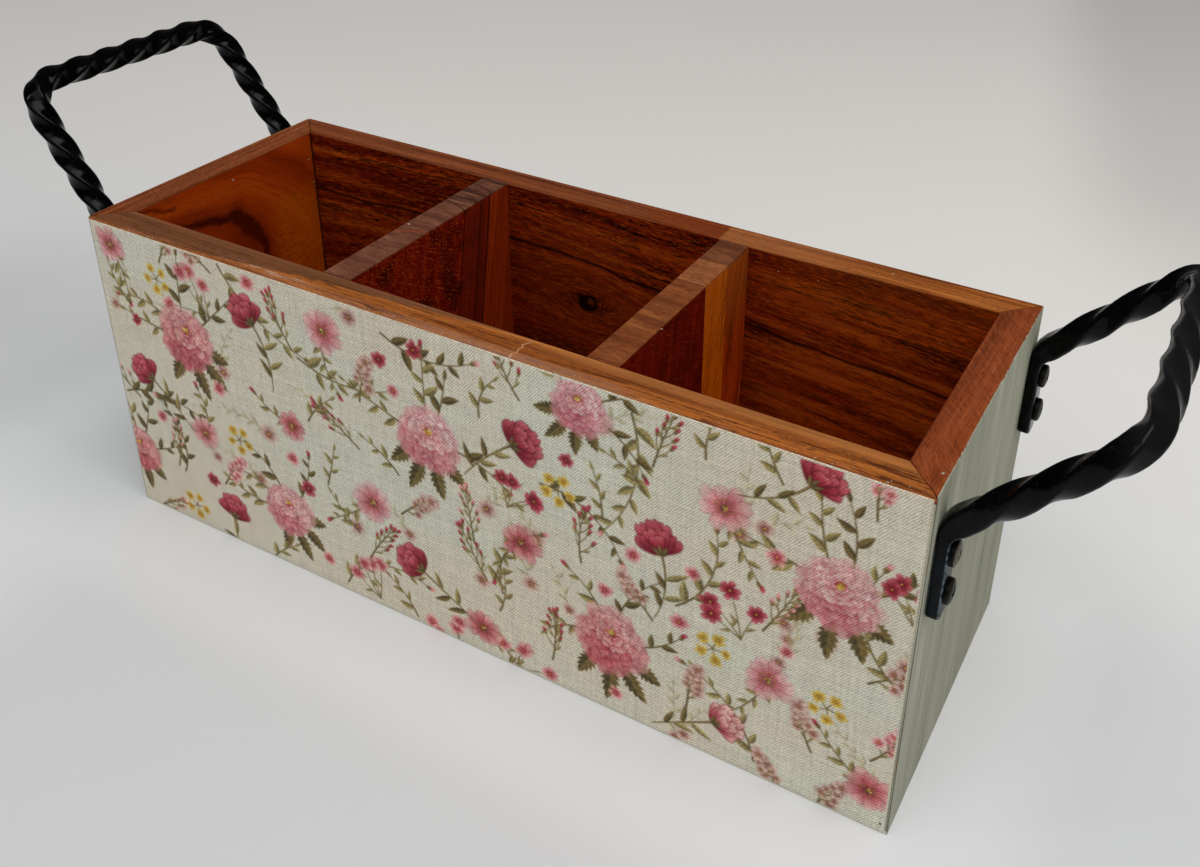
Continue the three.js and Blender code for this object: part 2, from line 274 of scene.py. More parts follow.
def paint(wood, xyz, outside, across, edge, seed):
    """Sage paint brushed upwards over the wood where outside is 1. edge is the distance to the nearest
    edge, where the paint has rubbed through here and there. Returns where it covers."""
    z = xyz[2]

    def strokes(width, length, shift, detail=2.0, rough=0.5):
        return blotch((across, z), (width, length), seed + shift, detail, rough)

    brush, hair = strokes(1.1, 70, 1, 3.0, 0.65), strokes(0.35, 26, 2)
    tones = ramp(brush * 0.75 + (strokes(14, 120, 0) * 0.6 - 0.175), SAGE)
    sage = Look(tones, hair * 0.35 + brush * 0.7 + 0.9)
    sage.tint((hair - 0.5) * 0.34 + 1.0)
    dry = strokes(0.55, 45, 3, 3.0, 0.7)
    sage.coat(dry.step(0.55, 0.68) * 0.5, (206, 203, 184))
    sage.coat(dry.step(0.42, 0.32) * 0.45, (112, 114, 98))
    # the paint is darker towards the bottom
    sage.coat(z.step(95, 25) * 0.28, (143, 143, 126))
    chips = blotch(xyz, (1.6, 1.6, 3.5), seed + 4, 3.0, 0.6)
    rub = blotch(xyz, (26, 26, 40), seed + 5, 1.0)
    cover = outside * (edge - (chips * 1.5 + rub - 1.22)).step(-0.25, 0.25)
    wood.cover(cover, sage)
    return cover


HONEY = ((0.30, (122, 60, 19)), (0.44, (154, 84, 31)), (0.56, (180, 104, 44)), (0.72, (200, 126, 62)))
ORANGE = ((0.25, (92, 38, 14)), (0.42, (124, 56, 24)), (0.58, (144, 68, 31)), (0.75, (160, 82, 42)))
TEAK = ((0.25, (92, 42, 20)), (0.42, (123, 61, 30)), (0.58, (146, 77, 39)), (0.75, (164, 94, 51)))
UMBER = ((0.25, (78, 43, 24)), (0.45, (106, 63, 37)), (0.60, (125, 76, 45)), (0.78, (144, 91, 57)))
RUSSET = ((0.26, (62, 5, 2)), (0.42, (100, 11, 4)), (0.55, (130, 22, 7)), (0.70, (164, 48, 12)))
BRINDLE = ((0.35, (90, 14, 3)), (0.45, (122, 30, 5)), (0.55, (150, 50, 8)), (0.68, (182, 80, 15)))
CHESTNUT = ((0.25, (140, 40, 6)), (0.45, (182, 60, 10)), (0.60, (200, 72, 13)), (0.80, (214, 90, 22)))
AMBER = ((0.25, (132, 38, 3)), (0.45, (164, 56, 5)), (0.60, (178, 67, 7)), (0.80, (194, 84, 13)))
EMBER = ((0.25, (112, 32, 5)), (0.45, (148, 46, 8)), (0.60, (164, 55, 10)), (0.80, (180, 70, 17)))
GOLD = ((0.25, (190, 80, 6)), (0.50, (222, 106, 10)), (0.75, (236, 130, 24)))
TAN = ((0.25, (138, 78, 42)), (0.50, (158, 93, 52)), (0.75, (174, 109, 66)))
WALNUT = ((0.25, (74, 38, 21)), (0.45, (101, 55, 31)), (0.60, (118, 67, 39)), (0.78, (136, 81, 49)))
MAUVE = ((0.25, (91, 50, 35)), (0.45, (113, 67, 48)), (0.60, (130, 80, 57)), (0.78, (146, 98, 71)))
SIENNA = ((0.25, (101, 48, 22)), (0.45, (129, 66, 31)), (0.60, (148, 82, 40)), (0.78, (166, 100, 53)))
DARK = (26, 4, 2)


def front_board():
    """Honey brown wood with a grey brown inner rim. Its paint shows round the canvas."""
    xyz = x, y, z = start("front_board")
    wood = grain((x, z, y), HONEY, 1, (66, 28, 11), wander=3, pitch=4.2, streaks=0.85, run=0.8)
    grey = grain((x, z, y), UMBER, 2, (44, 27, 17), wander=2, pitch=3.4, run=0.9)
    # painted light: the grey brown is paler towards the rim's inner edge, where its rounding lies in shade
    grey.coat(y.step(-54.4, -51.6) * 0.42, (150, 95, 60))
    wood.coat(y.step(-57.5, -51.5) * x.step(18, 60) * 0.62, (176, 112, 60))
    # the rim's inner part is grey brown, beyond a line that wavers and runs slantwise
    bound = x.step(-150, 50) * 12.5 - 62.5
    wave = blotch((x, y), (46, 5), 31) * 4.0 - 2.0
    wood.coat((y + wave - bound).step(-0.5, 0.9) * z.step(120, 134), grey.colour)
    # the outer edge is worn and bare in places
    worn = y.step(-59.6, -62.2) * blotch(xyz, (9, 1.2, 1.2), 33, 3.0).step(0.5, 0.66)
    wood.coat(worn * 0.55, (170, 100, 66))
    bare = (x.step(-24, 10) * 0.55 + 0.45) * x.within(-120, -60, 60, 84) * y.step(-58.6, -60.4)
    patchy = blotch(xyz, (14, 1.0, 1.0), 34, 3.0, 0.6).step(0.40, 0.60)
    wood.coat(bare * (patchy * 0.55 + 0.32), (142, 102, 82))
    # a pale scrape along the outer half
    scrape = x.within(-112, -98, -70, -52) * y.within(-61.6, -60.6, -59.6, -58.2)
    torn = blotch((x, y), (10, 0.7), 36, 3.0, 0.7).step(0.50, 0.58)
    wood.coat(scrape * torn * 0.75, (196, 158, 138))
    # an old crack across the rim, filled pale
    bend = blotch((y,), 2.3, 35, 1.0) * 5.0 + 26.9
    crack = abs(x - bend).step(0.42, 0.12) * y.step(-50.4, -53.5) * z.step(139.2, 139.8)
    wood.coat(crack * 0.85, (206, 152, 112))
    outside = y.step(-62.25, -62.5)
    cover = paint(wood, xyz, outside, x, nearest(138.6 - z, HALF_LENGTH - abs(x)), 41)
    # painted light: a pale strip along the foot of the front, lighter than its paint, against the shade where
    # the board meets the floor
    wood.coat(outside * z.step(2.0, 1.2), (212, 208, 192))
    return wood.oiled(0.42, 0.62, cover)


def back_board(name, seed, rim_tones):
    """One length of the back board. Both lengths share a figure, and differ in their rims."""
    xyz = x, y, z = start(name)
    lifted = (x + 60).calc("MAXIMUM", 0.0) * 0.085 + z
    lifted = (x + 60).calc("MINIMUM", 0.0) * -0.05 + lifted
    # the grain bows round a knot in the middle compartment
    dx, dz = (x - KNOT_X) * 0.85, z - KNOT_Z
    far = hypot(dx, dz)
    bow = (far * far * (-1 / 170)).calc("EXPONENT")
    lifted_knot = KNOT_Z + 0.085 * (KNOT_X + 60)
    lifted = (lifted - lifted_knot) * (bow * -0.6 + 1.0) + lifted_knot
    wood = grain((x, lifted, y), BRINDLE, seed, DARK, wander=4.5, pitch=5.6, streaks=0.95, run=0.8,
                 fibre=0.34, rag=1.7)

    def figure(length, width, shift, detail=2.0, rough=0.5):
        return blotch((x, lifted), (length, width), seed + shift, detail, rough)

    # the compartments differ: ochre high on the right, red low, and brown round the knot
    wood.coat(x.step(60, 92) * z.step(104, 134) * figure(60, 7, 61) * 0.5, (160, 76, 15))
    # painted light: the lighter red low on the right, where the compartment lies in shade
    wood.coat(x.step(62, 90) * z.step(116, 96) * figure(50, 6, 67) * 0.75, (172, 68, 13))
    wood.coat(far.step(46, 14) * figure(24, 6, 62) * 0.8, (140, 52, 12))
    redden = figure(70, 14, 66, 1.0) * z.step(130, 70)
    wood.coat(redden.step(0.40, 0.60) * 0.3, (118, 22, 5))
    bands = figure(90, 5, 68, 3.0, 0.6)
    low = x.step(60, 80) * z.step(128, 112)
    wood.coat(low * bands.step(0.48, 0.38) * 0.6, (60, 8, 3))
    wood.coat(low * bands.step(0.50, 0.60) * 0.45, (192, 92, 24))
    # short dark dashes along the grain, and glints between them
    dashes = blotch((x, lifted, y), (5.5, 0.8, 0.8), seed + 69, 4.0, 0.75)
    wood.coat(dashes.step(0.53, 0.60) * (figure(34, 9, 70).step(0.40, 0.60) * 0.55 + 0.2), (30, 4, 1))
    wood.coat(dashes.step(0.46, 0.37) * 0.5, (198, 90, 20))
    # one long vein from end to end
    vein = abs(lifted - (blotch((x,), 40, seed + 63) * 7.0 + 113.2))
    wood.coat(vein.step(figure(26, 2.4, 64) * 2.6, 0.1) * 0.85, (22, 4, 2))
    # the knot: a ragged black eye round a small fawn heart, with fine curls drawn out along the grain
    curl = blotch((x, z), (1.3, 1.0), seed + 65, 4.0, 0.7)
    level = (dx * dx * 0.22 + dz * dz * 2.2).calc("SQRT")
    wood.coat((curl * 3.0 + level).step(9.5, 5.5) * curl.step(0.44, 0.58) * 0.7, (34, 8, 3))
    ring = far + blotch((x, z), 5, seed + 60) * 3.4 + curl * 3.2 - 3.3
    wood.coat(ring.step(5.4, 3.2) * 0.96, (10, 3, 2))
    heart = hypot(dx - 1.3, dz - 0.7) + curl * 4.4 - 2.2
    wood.coat(heart.step(2.0, 0.9) * 0.7, (116, 46, 18))
    # the rim is paler: rusty in the middle, and dry beyond the joint
    rim = grain(xyz, rim_tones, seed + 20, (64, 26, 11), wander=3, pitch=3.6, run=0.8)
    rim.coat(x.within(6, 28, BACK_JOINT - 0.1, BACK_JOINT + 0.1) * 0.55, (126, 50, 2))
    rim.coat(x.within(BACK_JOINT, BACK_JOINT + 1, 86, 116) * 0.35, (172, 108, 68))
    wood.cover(z.step(*RIM_STARTS), rim)
    edge = nearest(z, HEIGHT - z, HALF_LENGTH - abs(x))
    cover = paint(wood, xyz, y.step(62.2, 62.45), x, edge, seed + 40)
    return wood.oiled(0.38, 0.6, cover)


def end_board(name, side, seed):
    """The left (side -1) or the right end board."""
    xyz = x, y, z = start(name)
    if side < 0:
        # a cathedral figure on the inner face: a dark vein that sinks from the front and then bends down
        u = (blotch((y, z), (13, 11), seed + 60, 3.0, 0.55) - 0.5) * 8.0 + y
        v = (blotch((y, z), (15, 9), seed + 62, 3.0, 0.55) - 0.5) * 8.0 + z
        upper, share = stretch(u, v, (-38, 126.5), (1, 118.5))
        knee, _ = stretch(u, v, (1, 117), (9.5, 108))
        lower, fall = stretch(u, v, (9.5, 108), (18, 84))
        near = nearest(share * -2.1 + upper, knee - 3.2, fall * 2.4 + lower - 2.8)
        wood = grain((y, near * 0.8 + z * 0.35, x), AMBER, seed, (112, 34, 4), wander=2, pitch=12,
                     streaks=0.35, fibre=0.1, pores=0.2)
        fleck = blotch((y, z, x), (3.4, 1.0, 1.0), seed + 61, 4.0, 0.65)
        soft = (fleck - 0.5) * 3.0 + near
        wood.coat(soft.step(7.5, 1.0) * 0.5, (120, 34, 4))
        wood.coat(soft.step(2.0, -0.6) * 0.9, (62, 11, 2))
        below = (y * 0.2 + v).step(119, 106) * (z * 0.36 + u).step(52, 40)
        wood.coat(below * (fleck.step(0.42, 0.62) * 0.3 + 0.28), (114, 30, 4))
        wood.coat(y.step(16, 28) * z.step(122, 108) * fleck.step(0.30, 0.60) * 0.7, (186, 88, 6))
        # a dark line along the back corner: the joint, darkened also as painted shade of the corner
        seam_and_corner_shade = blotch((z,), 16, seed + 63) * 0.9 + 48.7
        wood.coat((y - seam_and_corner_shade).step(-0.2, 0.3) * 0.85, (16, 4, 2))
        stripe, _ = stretch(u, v, (-50, 140.5), (-31, 135))
        wood.coat(((fleck - 0.5) * 2.0 + stripe).step(1.6, 0.2) * 0.7, (84, 20, 3))
    else:
        wood = grain((y, z, x), CHESTNUT, seed, (70, 18, 4), wander=6, pitch=8, streaks=0.5, pores=0.4)
    rim = grain((y, x, z), ORANGE if side > 0 else TEAK, seed + 20, (76, 30, 12), wander=3, pitch=3.4,
                streaks=0.4, run=0.7)
    # fine sanding marks run slantwise over the rim in slight curves
    slant = blotch((x, y), 16, seed + 22, 1.0) * 9.0 + (x * 0.8 + y * 0.6)
    marks = blotch((slant, x * 0.6 - y * 0.8), (0.6, 8), seed + 21, 3.0, 0.6)
    rim.coat(marks.step(0.53, 0.64) * 0.36, (84, 30, 12))
    rim.coat(marks.step(0.46, 0.38) * 0.25, (166, 96, 58))
    wood.cover(z.step(*RIM_STARTS), rim)
    edge = nearest(z, HEIGHT - z, HALF_DEPTH - abs(y))
    cover = paint(wood, xyz, abs(x).step(174.5, 174.8), y, edge, seed + 40)
    return wood.oiled(0.36, 0.6, cover)


def divider(name, seed, tones, dark, top_tones, strip=False, curl=0.0, streaks=0.8, painted_light_at_top=0.0):
    """A divider's grain stands upright, so its top is end grain."""
    xyz = x, y, z = start(name)
    lean = (z - HEIGHT) * -0.17 + y
    wood = grain((z, lean, x), tones, seed, dark, wander=3, pitch=4.6, streaks=streaks, run=0.8, fibre=0.34,
                 rag=1.0)
    if painted_light_at_top:
        # painted light: the face is lighter towards the top
        wood.coat(z.step(96, 134) * painted_light_at_top, (156, 90, 28))
    if curl:
        # bird's-eye figure: dark clouds sprinkled with short golden arcs
        front = lean.step(30, 10)
        wood.coat(front * 0.6, (110, 14, 5))
        wood.coat(blotch((y, z, x), (13, 15, 15), seed + 61).step(0.46, 0.64) * curl, (54, 6, 2))
        bow = blotch((y, z, x), 7, seed + 62, 1.0)
        curls = blotch((bow * 14 + y, bow * -9 + z, x), (1.5, 0.75, 1.0), seed + 60, 3.0, 0.7)
        wood.coat(curls.step(0.54, 0.62) * (front * 0.85 + 0.1) * curl, (166, 66, 15))
        wood.coat(curls.step(0.45, 0.36) * (0.7 * curl), (26, 3, 1))
    if strip:
        # an orange strip joined on at the back, between dark lines
        warm = grain((z, lean, x), EMBER, seed + 5, (60, 14, 3), wander=2, pitch=3.2)
        wood.coat(lean.step(37.2, 38.0), warm.colour)
        wood.coat(lean.within(19, 24, 37, 38) * 0.5, (112, 34, 8))
        for middle, size in ((37.4, 0.8), (20.4, 0.65), (31.5, 0.4)):
            wood.coat(abs(lean - middle).step(size, 0.15) * 0.85, (14, 3, 1))
    top = grain(xyz, top_tones, seed + 20, (62, 34, 24), wander=1.5, pitch=5.0, streaks=0.55, run=0.12,
                fibre=0.1, pores=0.3)
    top.coat(blotch(xyz, (0.8, 0.5, 0.5), seed + 23, 1.0).step(0.58, 0.72) * 0.5, (70, 38, 27))
    if strip:
        rows = blotch((x, y), (16, 1.5), seed + 24, 3.0)
        top.coat(lean.step(21, 23) * rows.step(0.46, 0.62), (66, 38, 28))
        for middle, size in ((1.6, 0.7), (20.6, 0.7), (11.0, 0.4)):
            top.coat(abs(x * 0.35 + y - middle).step(size, 0.1) * 0.7, (44, 22, 15))
        top.coat(abs(x * -0.4 + y - 15.6).step(0.9, 0.3) * 0.6, (160, 62, 30))
    wood.cover(z.step(*RIM_STARTS), top)
    return wood.oiled(0.40, 0.6, relief=0.1)


def floor_board():
    xyz = start("floor_board")
    wood = grain(xyz, BRINDLE, 9, DARK, wander=10, pitch=9, streaks=0.6)
    wood.coat(blotch(xyz, 30, 91, 4.0, 0.7).step(0.45, 0.75) * 0.25, (92, 58, 38))
    return wood.oiled(0.45, 0.65)


def cloth_finish():
    """Plain-woven canvas under a soft print, which is held by the mesh."""
    x, _, z = start("canvas")

    def uneven(sizes, seed, detail=2.0, rough=0.5):
        return blotch((x, z), sizes, seed, detail, rough)

    sway = uneven(16, 71, 3.0, 0.6) * 1.1
    u, v = (sway + x) * (2 * math.pi / WARP_PERIOD), (sway + z) * (2 * math.pi / WEFT_PERIOD)
    over = abs(u.calc("SINE")) * abs(v.calc("SINE"))
    twill = (uneven(2, 78, 2.0, 0.6) * 7.0 + (u - v)).calc("SINE")
    twill = twill * (uneven(5, 75) * 1.6 + 0.1) * (over * 0.9 + 0.4)
    slub = uneven((24, 0.6), 72, 1.0) + uneven((0.6, 24), 73, 1.0) - 1.0
    thick = uneven((18, 1.3), 79, 2.0, 0.6) + uneven((1.3, 18), 80, 2.0, 0.6) - 1.0
    knots, lumps = uneven(0.9, 76, 2.0, 0.7) - 0.5, uneven((1.5, 1.4), 77, 3.0, 0.75) - 0.5
    ink = first("ShaderNodeVertexColor", layer_name="print")
    cloth = Look(ink, over * 0.6 + twill * 0.2 + slub * 0.5 + 0.2)
    weave = (over - 0.4) * 0.17 + twill * 0.29 + slub * 0.26 + 0.985
    cloth.tint(weave + knots * 0.30 + lumps * 0.55 + thick * 0.26)
    stain = mix(uneven((85, 60), 74).step(0.34, 0.66), (255, 249, 242), (251, 253, 249))
    cloth.colour = mix(1.0, cloth.colour, stain, "MULTIPLY")
    return cloth.finish(cloth.height * -0.08 + 0.9, 0.10, 0.25, **{"Sheen Weight": 0.06})


def iron_finish():
    """Black lacquer over hammered iron, rubbed a little on the ridges."""
    xyz = x, y, z = start("black_iron")
    wear = attribute("ridge")
    peel, grit, patch = blotch(xyz, 1.6, 81, 3.0, 0.6), blotch(xyz, 0.4, 82), blotch(xyz, 11, 83)
    iron = Look(two_tone(patch, (0, 0, 1), (3, 3, 4)), peel * 0.8 + grit * 0.2)
    iron.coat(wear.step(0.55, 1.0) * (peel * 0.5 + patch * 0.5).step(0.5, 0.68) * 0.4, (30, 30, 32))
    iron.coat(blotch(xyz, 0.5, 84, 1.0).step(0.70, 0.76) * 0.5, (70, 68, 64))
    # painted sheen: the right handle's upper legs and bar are a little greyer
    iron.coat(x.step(214, 223) * (patch * 0.5 + 0.4), (27, 27, 28))
    # the front feet carry a painted blue reflection, and painted highlights along their rubbed edges
    foot = z.step(124, 117) * y.step(20, -20)
    scale = blotch(xyz, (3, 3, 7), 90).step(0.35, 0.62)
    iron.coat(foot * (scale * 0.5 + 0.12), (12, 20, 28))
    # painted highlight, pale blue, along the rubbed edges
    edge = wear.step(0.10, 0.32) * (peel * 0.5 + grit * 0.5).step(0.44, 0.54)
    iron.coat(foot * edge * 0.85, (104, 126, 138))
    return iron.finish(foot * 0.2 + grit * 0.06 + patch * 0.10 + 0.09, 0.06, 0.115)


def screw_finish(name, bare):
    """Blackened screw steel; bare is how far the recess has been scraped bright."""
    xyz = start(name)
    worn = attribute("recess")
    grit, turned = blotch(xyz, 0.5, 85, 3.0, 0.6), blotch(xyz, (0.2, 1.6, 1.6), 86)
    steel = Look(two_tone(turned, (4, 4, 4), (10, 10, 11)), grit)
    # a thin brown line where the dome starts, and brown steel all over it where the screwdriver slipped
    steel.coat(worn.within(0.26, 0.34, 0.36, 0.44) * (turned.step(0.4, 0.6) * 0.3 + 0.1), (80, 62, 40))
    steel.coat(worn.step(0.42, 0.55) * (grit.step(0.35, 0.6) * (0.5 * bare) + 0.4 * bare), (118, 110, 90))
    slot = worn.step(0.75, 0.95)
    steel.coat(slot * 0.8, (12, 10, 8))
    spark = slot * grit.step(0.60 - 0.16 * bare, 0.68 - 0.16 * bare) * bare
    steel.coat(spark, (226, 218, 200))
    return steel.finish(blend(spark, grit * 0.2 + 0.32, 0.25), 0.05, 0.12, Metallic=spark * 0.5 + 0.2)


def mottled(name, sizes, seed, detail, tones, roughness, relief, specular=0.5, steel=False):
    """A small piece's finish: one mottling between two tones."""
    tone = blotch(start(name), sizes, seed, detail)
    metallic = tone.step(0.2, 0.6) if steel else None
    look = Look(two_tone(tone, *tones), tone)
    return look.finish(tone * roughness[0] + roughness[1], relief, specular, Metallic=metallic)


# The print: a garden pattern painted on an array, one value for each point of the canvas mesh

CANVAS_WIDTH, CANVAS_HEIGHT = 348.2, 138.9
CANVAS_TOP, CANVAS_CORNER = 139.9, 1.2
EDGE_THICKNESS, THICKER_INSIDE, RIPPLES = 0.3, 0.22, 0.06
COLUMNS, ROWS = 864, 344
LEVELS = 4                       # a face spans 1, 2, 4 or 8 of these
FLATNESS = 0.022                 # how far a large face's colours may be off
GROUND = (224, 219, 202)
GROUND_EDGE = np.array((214, 206, 188)) / 255
ROSE = ((158, 38, 60), (218, 136, 136), (244, 206, 197))
BLUSH = ((182, 66, 86), (228, 164, 163), (248, 222, 215))
CRIMSON = ((110, 14, 28), (166, 44, 62), (214, 112, 120))
FADED = ((136, 78, 70), (206, 166, 154), (230, 206, 190))
YOLK = ((168, 118, 36), (216, 180, 68), (236, 212, 122))
LEAF_DARK, LEAF, LEAF_PALE = (104, 88, 48), (148, 134, 84), (178, 166, 122)
STEM, TWIG = (122, 104, 60), (78, 60, 42)
TURN = 6.28

rng = np.random.default_rng(23)


def polar(x, y, angle, reach):
    """The point at reach from (x, y) in the angle's direction."""
    return x + reach * math.cos(angle), y + reach * math.sin(angle)


def rotated(x, y, angle):
    c, s = math.cos(angle), math.sin(angle)
    return x * c - y * s, x * s + y * c


def soft_noise(cell):
    """Smooth noise from -1 to 1 over the array, with blotches of about cell points."""
    rows, columns = ROWS + 1, COLUMNS + 1
    coarse = rng.uniform(-1, 1, (rows // cell + 3, columns // cell + 3))
    down, across = np.arange(rows) / cell, np.arange(columns) / cell
    i, j = down.astype(int), across.astype(int)
    p, q = smooth(0, 1, down - i)[:, None], smooth(0, 1, across - j)[None]
    upper = coarse[np.ix_(i, j)] * (1 - q) + coarse[np.ix_(i, j + 1)] * q
    lower = coarse[np.ix_(i + 1, j)] * (1 - q) + coarse[np.ix_(i + 1, j + 1)] * q
    return upper * (1 - p) + lower * p


def deeper(inks, share):
    """The same three inks, moved towards the deepest."""
    deep, middle, pale = (np.array(ink, float) for ink in inks)
    return deep, middle + (deep - middle) * share, pale + (middle - pale) * min(1.5 * share, 1)


# Motifs are painted on SHEET. x runs along the canvas from its left, y up from its foot

XS, YS = np.linspace(0, CANVAS_WIDTH, COLUMNS + 1), np.linspace(0, CANVAS_HEIGHT, ROWS + 1)
FINENESS = COLUMNS / CANVAS_WIDTH
SHEET = np.full((ROWS + 1, COLUMNS + 1, 3), GROUND, float) / 255
WASH = 0.6 * soft_noise(9) + 0.4 * soft_noise(3)


def patch_at(x, y, angle, reach):
    """The part of the array near (x, y), and its places along and across the angle."""
    i = slice(*np.searchsorted(YS, (y - reach, y + reach)))
    j = slice(*np.searchsorted(XS, (x - reach, x + reach)))
    gx, gy = np.meshgrid(XS[j] - x, YS[i] - y)
    return (i, j), *rotated(gx, gy, -angle)


def soft_edge(inside):
    return np.clip(inside * FINENESS + 0.5, 0, 1)


def lay(area, colour, cover):
    """Lays a colour on part of the sheet, a little uneven as a wash is."""
    tone = 1 + 0.10 * WASH[area][..., None]
    base = SHEET[area]
    SHEET[area] = base + cover[..., None] * (np.clip(colour * tone, 0, 1) - base)


def petal(x, y, angle, length, width, inks, shape=0.5, frill=0.0, fade=0.0, shadow=0.0, streaks=9):
    """A petal from its base at (x, y), broad where shape is near 0.5 and narrow near 1. fade is how much
    its tip sinks into the cloth, and shadow how dark the ground round it is."""
    area, u, v = patch_at(x, y, angle, length * 1.2 + 1.2)
    if not u.size:
        return
    a, b, c = rng.uniform(0, TURN, 3)
    v = v + 0.08 * width * np.sin(u / length * 3 + a)
    s = np.clip(u / length, 1e-3, 1)
    half = 0.575 * width * s ** shape * np.sqrt(np.clip(1 - s ** (2 + 6 * (1 - shape)), 0, 1))
    ripple = frill * (np.exp(-(v / (0.2 * width)) ** 2) + 0.5 * np.cos(v / width * 10 + b)
                      + 0.45 * np.cos(v / width * 27 + c))
    tip = length * (1 - ripple) - u
    side = np.minimum(half - np.abs(v), u + 0.1)
    within = np.minimum(side, tip)
    deep, middle, pale = (np.array(ink) / 255 for ink in inks)
    if shadow:
        lay(area, 0.8 * deep, shadow * np.clip(1 + within / 0.9, 0, 1) ** 2)
    q = np.clip(np.abs(v) / np.maximum(half, 1e-3), 0, 1)
    rays = 0.6 * np.sin(v / width * streaks * 3 + a) + 0.4 * np.sin(v / width * streaks * 7 + b)
    t = np.clip(s ** 1.15 * 1.08 + 0.20 * rays * (1 - 0.7 * s) - 0.10 * q ** 4, 0, 1)[..., None]
    colour = np.where(t < 0.5, deep + (middle - deep) * t * 2, middle + (pale - middle) * (t * 2 - 1))
    rim = 0.18 * np.clip(1 - within / 0.4, 0, 1)[..., None]
    cover = soft_edge(side) * soft_edge(tip) * (1 - fade * s ** 2)
    lay(area, colour * (1 - rim) + deep * rim, cover)


def leaf(x, y, angle, length, width, colour=LEAF, strength=1.0, teeth=0.0):
    area, u, v = patch_at(x, y, angle, length + 1)
    if not u.size:
        return
    s = np.clip(u / length, 0, 1)
    v = v - rng.uniform(-0.25, 0.25) * length * s * (1 - s)
    half = width / 2 * np.sin(np.pi * s ** 0.75) ** 0.9
    saw = (s * 6.5) % 1
    half = half * (1 + teeth * (saw - 0.6))
    veins = np.sin((u - 0.8 * np.abs(v)) / length * 30)
    tone = np.where(v > 0, 1.16, 0.84) + 0.10 * veins + 0.12 * (s - 0.5)
    shade = np.array(colour) / 255 * tone[..., None]
    rib = (0.30 * np.exp(-(v / 0.2) ** 2))[..., None]
    shade = shade + (np.array((0.72, 0.66, 0.46)) - shade) * rib
    lay(area, shade, soft_edge(half - np.abs(v)) * (u > 0) * (u < length) * strength)


def line(points, width, colour=STEM, strength=1.0):
    """A stem along points, thinning towards its end."""
    for i, (a, b) in enumerate(zip(points, points[1:])):
        length = math.dist(a, b)
        angle = math.atan2(b[1] - a[1], b[0] - a[0])
        area, u, v = patch_at(*a, angle, length + width + 0.5)
        along = np.clip(u, 0, length)
        half = width / 2 * (1 - 0.6 * (i + along / length) / (len(points) - 1))
        lay(area, np.array(colour) / 255, soft_edge(half - np.hypot(u - along, v)) * strength)


def dot(x, y, radius, colour, strength=1.0):
    area, u, v = patch_at(x, y, 0.0, radius + 1)
    lay(area, np.array(colour) / 255, soft_edge(radius - np.hypot(u, v)) * strength)


def stem(x, y, angle, length, bend, width=0.8, colour=STEM, steps=12, strength=1.0):
    """Draws a bowed stem. Returns its points and the angle at its end."""
    points = [(x, y)]
    for _ in range(steps):
        angle += bend / steps
        x += math.cos(angle) * length / steps
        y += math.sin(angle) * length / steps
        points.append((x, y))
    line(points, width, colour, strength)
    return points, angle


def scatter(x, y, reach, count, radius, colours):
    for k in range(count):
        a, r = rng.uniform(0, TURN), reach * math.sqrt(rng.uniform())
        dot(*polar(x, y, a, r), radius, colours[k % len(colours)])


def full_bloom(x, y, size, inks):
    """Rings of frilled petals round a dense heart; those that hang down lie in the shade."""
    turn = rng.uniform(0, 6)
    rings = ((1.0, 11, 0.38), (0.86, 10, 0.36), (0.72, 9, 0.33), (0.57, 8, 0.28), (0.43, 7, 0.23),
             (0.3, 6, 0.17), (0.18, 5, 0.11))
    for ring, (share, count, width) in enumerate(rings):
        heart = y + size * 0.022 * ring
        for k in rng.permutation(count):
            a = turn + ring * 0.7 + k * 2 * math.pi / count + rng.uniform(-0.14, 0.14)
            hang = max(-math.sin(a + 0.3), 0)
            shade = min(0.8 * hang * (ring < 4) + rng.uniform(0, 0.3), 0.85)
            petal(x, heart, a, size / 2 * share * rng.uniform(0.88, 1.08), size * width,
                  deeper(inks, shade), 0.42, 0.085, (0.5, 0.25)[ring] if ring < 2 else 0.0,
                  0.40 if ring else 0.1)
    heart = y + size * 0.14
    scatter(x, heart, size * 0.055, 9, size * 0.02 + 0.1, (inks[0], (190, 84, 50)))
    scatter(x, heart, size * 0.045, 12, size * 0.014 + 0.1, YOLK)


def daisy(x, y, size, inks):
    """Eight to ten loose petals round a brown eye with stamens."""
    turn = rng.uniform(0, 1)
    count = int(rng.integers(8, 11))
    for k in rng.permutation(count):
        a = turn + k * 2 * math.pi / count + rng.uniform(-0.12, 0.12)
        petal(x, y, a, size / 2 * rng.uniform(0.82, 1.06), size * 0.30,
              deeper(inks, rng.uniform(0, 0.4)), 0.62, 0.09, 0.35, 0.25)
    for k in range(13):
        a, r = k * 0.483 + rng.uniform(-0.1, 0.1), size * rng.uniform(0.10, 0.17)
        tip = polar(x, y, a, r)
        line([(x, y), tip], 0.35, TWIG, 0.7)
        dot(*tip, 0.42, (150, 106, 50))
    dot(x, y, size * 0.055, TWIG)
    scatter(x, y, size * 0.05, 7, 0.4, YOLK)


def small(x, y, size, inks, petals=5, fade=0.15):
    """A little open blossom."""
    turn = rng.uniform(0, 6)
    for k in range(petals):
        petal(x, y, turn + k * 2 * math.pi / petals, size / 2 * rng.uniform(0.85, 1.1),
              size * 2.1 / petals, inks, fade=fade)
    dot(x, y, size * 0.10, inks[0])
    dot(x, y, size * 0.05, YOLK[1])


